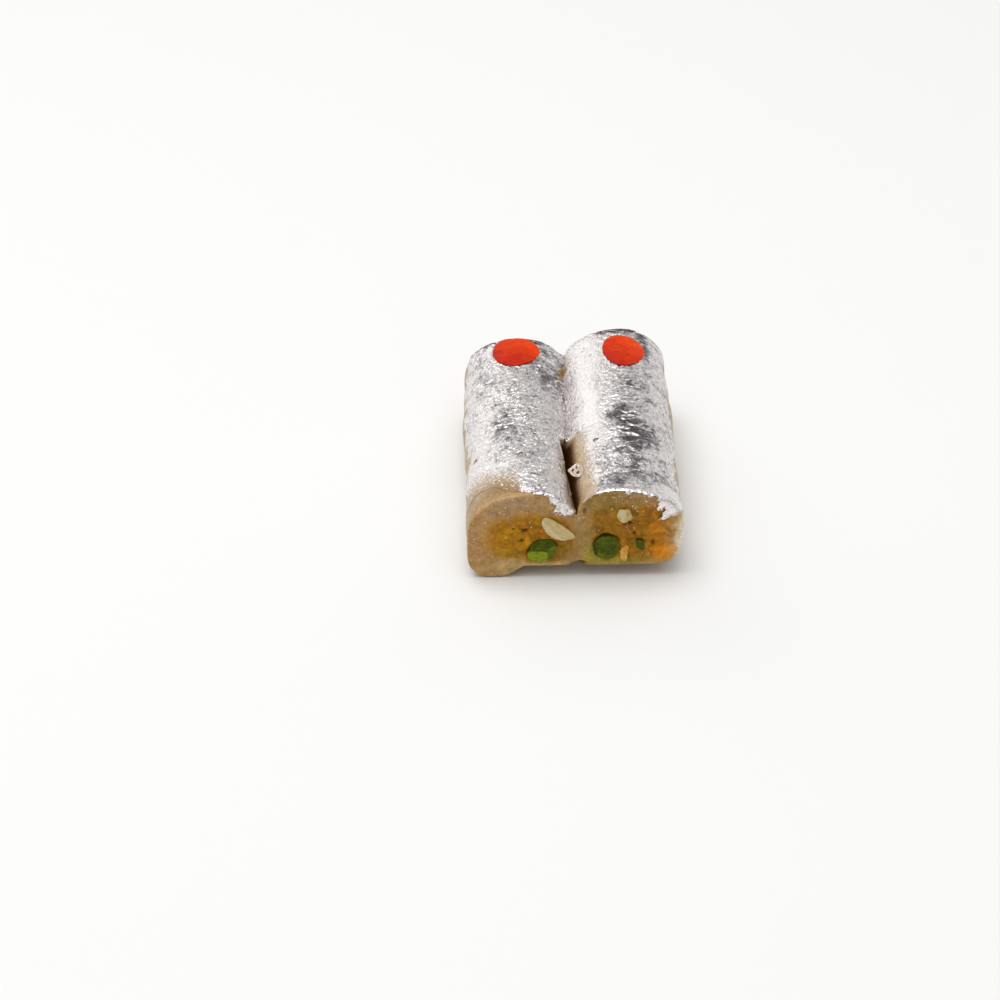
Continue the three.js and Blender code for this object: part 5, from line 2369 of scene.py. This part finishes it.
# What sits in this roll, from its cut ends to its leaf. A spot is its middle, reach and strength.
FILLINGS = (
    FillingForm(Side.LEFT, (-9.35, -11), (10.4, 9.7), (9.35, 8.3), (6.6, 6.6), 3),
    FillingForm(Side.RIGHT, (12.55, 12), (11.45, 10.8), (10, 8.8), (7.55, 7.2), 4),
)
PISTACHIO, CASHEW, CRUMB = NutKind
NUTS = (
    NutPiece("pistachio_left", PISTACHIO, End.FRONT, -7.2, 7.1, 6.8, 5.1, 5.5, 30, 0.0,
             ((0.1, 0.1, 0.5, 0.95), (-0.246, 0.3, 0.94, 0.6), (-0.1, -0.246, 0.58, 0.4)), 5,
             knobs=0.16, pocket=0.45, rough=0.25),
    NutPiece("pistachio_right", PISTACHIO, End.FRONT, 6.8, 7.9, 5.9, 6.4, 6, -12, 0.0,
             ((-0.06, 0.05, 0.25, 0.45), (0.3, 0.3, 1.1, 0.15), (0.1, 0.35, 0.9, 0.6)), 5,
             knobs=0.16, pocket=0.45),
    NutPiece("pistachio_chip", PISTACHIO, End.FRONT, 14.3, 8.4, 1.9, 3.1, 2, 18, 0.0,
             ((0.2, 0.1, 0.1, 0.45),), knobs=0.25, pocket=0.15),
    NutPiece("cashew_sliver", CASHEW, End.FRONT, -4, 12.8, 8.7, 3.8, 3.6, -38, 0.26,
             ((0.03, -0.08, 0.25, 0.5), (0.1, 0.3, 0.55, 0.8)), 5, pocket=0.2),
    NutPiece("cashew_chip", CASHEW, End.FRONT, 10.7, 16.3, 3.3, 3.5, 2.6, 30, 0.0,
             ((0.2, -0.1, 0.35, 0.7), (-0.25, 0.2, 0.45, 0.4)), 5, knobs=0.35, pocket=0.15, rough=0.3),
    NutPiece("nut_crumb", CRUMB, End.FRONT, 10.75, 6.3, 1.9, 3.8, 2.4, -10, 0.0,
             ((0.3, 0.1, 0.4, 0.7), (-0.2, -0.3, 0.5, 0.4)), 5, knobs=0.4, pocket=0.15, rough=0.45),
    NutPiece("pistachio_back_left", PISTACHIO, End.BACK, -12.4, 8.2, 5.6, 4.6, 5, -20, 0.0,
             ((0.18, -0.1, 0.5, 0.9), (-0.2, 0.1, 0.6, 0.3)), 5),
    NutPiece("pistachio_back_right", PISTACHIO, End.BACK, 15.6, 8.4, 6.2, 5.2, 5, 30, 0.0,
             ((-0.1, 0.1, 0.3, 0.4), (0.3, -0.2, 0.9, 0.85)), 5),
    NutPiece("cashew_back_sliver", CASHEW, End.BACK, 8.6, 12.6, 7.6, 3, 3.4, 40, 0.2,
             ((0.05, 0.1, 0.3, 0.7),), 5),
    NutPiece("cashew_back_chip", CASHEW, End.BACK, -7.6, 12.4, 3.6, 2.8, 2.6, -15),
)
# The front cut's tints; the near-white glow and the honey colour at its right edge are painted light.
FRONT_TINTS = tints(
    (Hue.SAFFRON, -14.9, 10.2, 4.8, 5, 0.95), (Hue.MOSS, -14.8, 6.9, 2.3, 1.7, 0.25),
    (Hue.BURNT, -18.2, 10.5, 1.1, 2.6, 0.5), (Hue.ORANGE, -11, 11.9, 0.7, 3, 0.35),
    (Hue.SAFFRON, -8.4, 16.2, 3.4, 1.3, 0.4), (Hue.BURNT, -7.2, 11.8, 2.2, 1.7, 0.6),
    (Hue.ROSE, -16.1, 16.8, 3.4, 1.3, 0.6), (Hue.OLIVE, -2, 6, 3, 2.8, 0.6),
    (Hue.SEAM, 2.2, 11, 2.1, 9.5, 0.85), (Hue.OLIVE, 5.4, 19.6, 4.2, 3.2, 0.75),
    (Hue.ROSE, 4.9, 19.6, 1.1, 0.9, 0.6), (Hue.OLIVE, 10.5, 20.4, 6, 1.8, 0.6),
    (Hue.BURNT, 17.2, 17.4, 3, 2, 0.4), (Hue.ROSE, 17.5, 18.4, 1.6, 1.1, 0.6),
    (Hue.ORANGE, 18.2, 11, 2.5, 4.4, 0.5), (Hue.ORANGE, 19.2, 6.6, 2.8, 2.1, 1),
    (Hue.HONEY, 21.4, 10.8, 1.8, 5.4, 0.7), (Hue.MOSS, 15, 6.2, 1.1, 0.8, 0.6),
    (Hue.MOSS, 4.2, 6.2, 1.7, 3, 0.8), (Hue.MOSS, 8.6, 4.2, 7.5, 1, 0.8),
    (Hue.GLOW, 23.5, 8.4, 1.7, 7.6, 0.95), (Hue.CLAY, -16, 20.4, 8.5, 2.8, 0.75),
    (Hue.RIM, -8, 3.4, 8, 0.9, 0.7), (Hue.RIM, -14.6, 2.6, 5, 2.6, 0.6),
)
BACK_TINTS = tints(
    (Hue.SAFFRON, -14, 9.5, 4.4, 4.4, 0.9), (Hue.ORANGE, -8, 12.2, 2.4, 2.2, 0.6),
    (Hue.OLIVE, -5.5, 7, 2.2, 3, 0.6), (Hue.ROSE, -12, 15.6, 3.4, 1.2, 0.5),
    (Hue.SEAM, 0.4, 10.5, 2.2, 9, 0.8), (Hue.BURNT, 9, 15, 3.4, 2, 0.5),
    (Hue.ORANGE, 13.5, 8, 4, 3.4, 0.8), (Hue.MOSS, 8, 5.4, 3.2, 1.6, 0.6),
    (Hue.OLIVE, 17.5, 13.4, 2.8, 2.4, 0.5), (Hue.CLAY, -12, 20, 9, 3, 0.7),
    (Hue.CLAY, 13, 22, 9, 3.6, 0.7), (Hue.RIM, -21.5, 7, 2.6, 6, 0.5), (Hue.RIM, 9, 2.4, 12, 1.4, 0.5),
)
# Pits in the cut: dents that are also painted with shade.
FRONT_PITS = spots(
    (-11.2, 12.5, 0.75, 0.5), (-11.9, 9.8, 0.55, 0.35), (-13.6, 12.9, 0.4, 0.3, 0.7),
    (11.6, 14.1, 0.9, 0.45), (13, 11.4, 0.4, 0.5, 0.8), (17, 8.9, 0.35, 0.7, 0.6), (1, 3.7, 1.3, 0.5),
    (2, 17.6, 0.5, 0.8, 0.7),
)
BACK_PITS = spots((-9.6, 10.4, 0.6, 0.4), (11.2, 10.6, 0.7, 0.45), (19, 12, 0.5, 0.3))
FRONT_HEAPS = spots(
    (12.6, 16, 0.8, 1.1), (11.3, 12.9, 2, 1, 0.8), (15.4, 5.7, 1, 0.7, 0.9), (-11, 12.6, 1, 2.4, 0.4),
    (10.5, 18, 5, 0.9, 0.3),
)
BACK_HEAPS = spots((-9, 12.6, 1.6, 1.4, 0.7), (12, 12.6, 2, 1, 0.7))
# Where the leaf lies calm, where it is painted with dark reflection, and where it is worn.
LEFT_CALM = spots(
    (-4, 20, 4.2, 12, 1), (-6, -15, 2.2, 2.6, 0.6), (-15.5, -4, 4.5, 9, 0.7),
    (-18.5, 16, 3.6, 5, 0.6), (-12, 31.5, 9, 1.6, 0.8),
)
LEFT_DARK_REFLECTION = spots(
    (-4, 21, 3.8, 11, 0.45), (-15.5, -4, 4.5, 9, 0.4), (-18.5, 16, 3.6, 5, 0.35),
    (-12, 31.5, 9, 1.6, 0.8), (-4, -22, 5, 9, -0.12), (-21, -10, 4, 14, -0.3),
)
RIGHT_CALM = spots(
    (14.4, -12.6, 4.6, 5.6), (10.8, -4.6, 3.4, 4.4, 0.7), (15.6, -21.5, 4.6, 4.6, 0.25),
    (14, 5, 6, 12, 0.4), (13, 32, 9, 1.8, 0.9), (17.8, 26, 1.8, 5, 0.9),
    (4.6, -3, 3, 13, -0.6), (5.4, 18, 4, 15, -0.55), (11, -29.5, 11, 5, -0.5),
)
RIGHT_DARK_REFLECTION = spots(
    (14.4, -11, 4.2, 5.6), (10.8, -3.6, 3.2, 4.2, 0.7), (13, -21, 7, 6, 0.3),
    (12, -28, 9, 4.5, 0.3), (15, 6, 6, 12, 0.25), (5.5, -5, 2.6, 11, -0.5),
    (5.5, 16, 4.4, 18, -0.45), (21, -31.5, 3.5, 4, -0.7), (13, 32, 9, 1.8, 0.9), (17.8, 26, 1.8, 5, 0.9),
)
RIGHT_WORN = spots((23, 11, 1, 6, 0.9), (0.5, 25, 1.6, 4.5, 0.5), (2.6, -30.5, 2.6, 4.5, 1.1))
# Where flecks of leaf stick to the cut, and how many.
CLUSTERS = (
    (Spot(-17.5, 17.2, 4.0, 1.6), 16), (Spot(-11.5, 20.2, 3.5, 1.0), 10),
    (Spot(-22.6, 13.2, 1.0, 1.8), 14), (Spot(0.8, 16.3, 1.2, 1.0), 8),
    (Spot(9.5, 21.3, 5.0, 0.9), 24), (Spot(17.5, 19.0, 3.0, 1.6), 10),
)
# Where painted shadow darkens the paste at the front left, and where the leaf tore past the slit, a spot in
# the groove also painted with shade.
FRONT_LEFT_SHADOW = spots((-15.5, -31.5, 7.5, 7.5, 0.9))
TORN_SPOT = spots((-0.6, 22.9, 1.3, 1.8, 1.3))


def hand_over(piece: Object, slot: str, *nodes: str) -> None:
    """Ties a finished piece to the frame.

    Args:
        piece: The piece.
        slot: The material slot that the piece belongs to; not used.
        *nodes: The CAD nodes that it stands for.
    """
    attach(piece, "root")
    if nodes:
        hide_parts(*nodes)
    LOG.info("%s: %d faces, stands for %s", piece.name, len(piece.data.polygons), nodes or "none")


def main() -> None:
    """Builds the roll piece by piece, then the studio."""
    logging.basicConfig(level=logging.INFO, format="%(message)s")
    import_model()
    form = RollForm()
    faces = (
        CutFace(End.FRONT, form, FILLINGS, NUTS, FRONT_TINTS, FRONT_PITS, FRONT_HEAPS),
        CutFace(End.BACK, form, FILLINGS, NUTS, BACK_TINTS, BACK_PITS, BACK_HEAPS),
    )

    paste, paste_finish = Paste(form, FILLINGS, faces, damp=FRONT_LEFT_SHADOW), PasteFinish()
    hand_over(paste.build(paste_finish.build()), "cashew_paste", "dough")

    filling_finish = FillingFinish().build()
    crumb_finish = NutFinish("filling crumbs", skin="#a86c1a", flesh="#c48c38", cut="#e2c184").build()
    grains = Crumbs()
    grains.build()
    for shape in FILLINGS:
        side = shape.side.name.lower()
        piece = Filling(f"nut_filling_{side}", shape, form, faces).build(filling_finish)
        hand_over(piece, "nut_filling", f"filling_{side}")
        scattered = grains.scatter(f"crumbs_{side}", piece, crumb_finish)
        hand_over(scattered, "nut_filling")

    finishes = {
        PISTACHIO: NutFinish("pistachio flesh", skin="#35330a", flesh="#4f5c06", cut="#8f9d16").build(),
        CASHEW: NutFinish("cashew flesh").build(),
        CRUMB: NutFinish("toasted nut", skin="#bd8426", flesh="#d8a444", cut="#f0ca7c").build(),
    }
    for nut in NUTS:
        hand_over(nut.build(form, finishes[nut.kind]), nut.kind.value, nut.name)

    leaf_finish = LeafFinish(paste_finish).build()
    crinkles = LeafCrinkles()
    crinkles.build()
    leaves = (
        SilverLeaf(
            "silver_leaf_left", Side.LEFT, form, 12, 4.1, -1.0, 0.3, (Drape(104, 150, 3.9),),
            calm=LEFT_CALM, dull=LEFT_DARK_REFLECTION, worn=spots((-1.8, -6.5, 1.6, 5, 0.3)) + TORN_SPOT,
            damp=(*FRONT_LEFT_SHADOW, *TORN_SPOT), patch=Patch(),
        ),
        SilverLeaf(
            "silver_leaf_right", Side.RIGHT, form, 16, 0.6, 0.9, 4.6, (Drape(16, 54, 4.4, 0.9, 0.7),),
            calm=RIGHT_CALM, dull=RIGHT_DARK_REFLECTION, worn=RIGHT_WORN + TORN_SPOT, damp=TORN_SPOT,
        ),
    )
    for leaf in leaves:
        hand_over(leaf.build(crinkles, leaf_finish), "silver_leaf", "silver_leaf")
    cut_outline = paste.outline(form.front, 0.5)[:, [0, 2]]
    bits = LeafBits(form, faces[0], cut_outline, CLUSTERS)
    hand_over(bits.build(leaf_finish), "silver_leaf")

    dot_finish = DotFinish().build()
    for dot in (
        ColourDot("dot_left", Side.LEFT, form, -11.6, form.front + 59.2, 5.2, 5.9),
        ColourDot("dot_right", Side.RIGHT, form, 13.1, form.front + 55.4, 4.6, 6.5),
    ):
        hand_over(dot.build(dot_finish), "red_colour", dot.name)

    Studio(form).build()


if __name__ == "__main__":
    main()
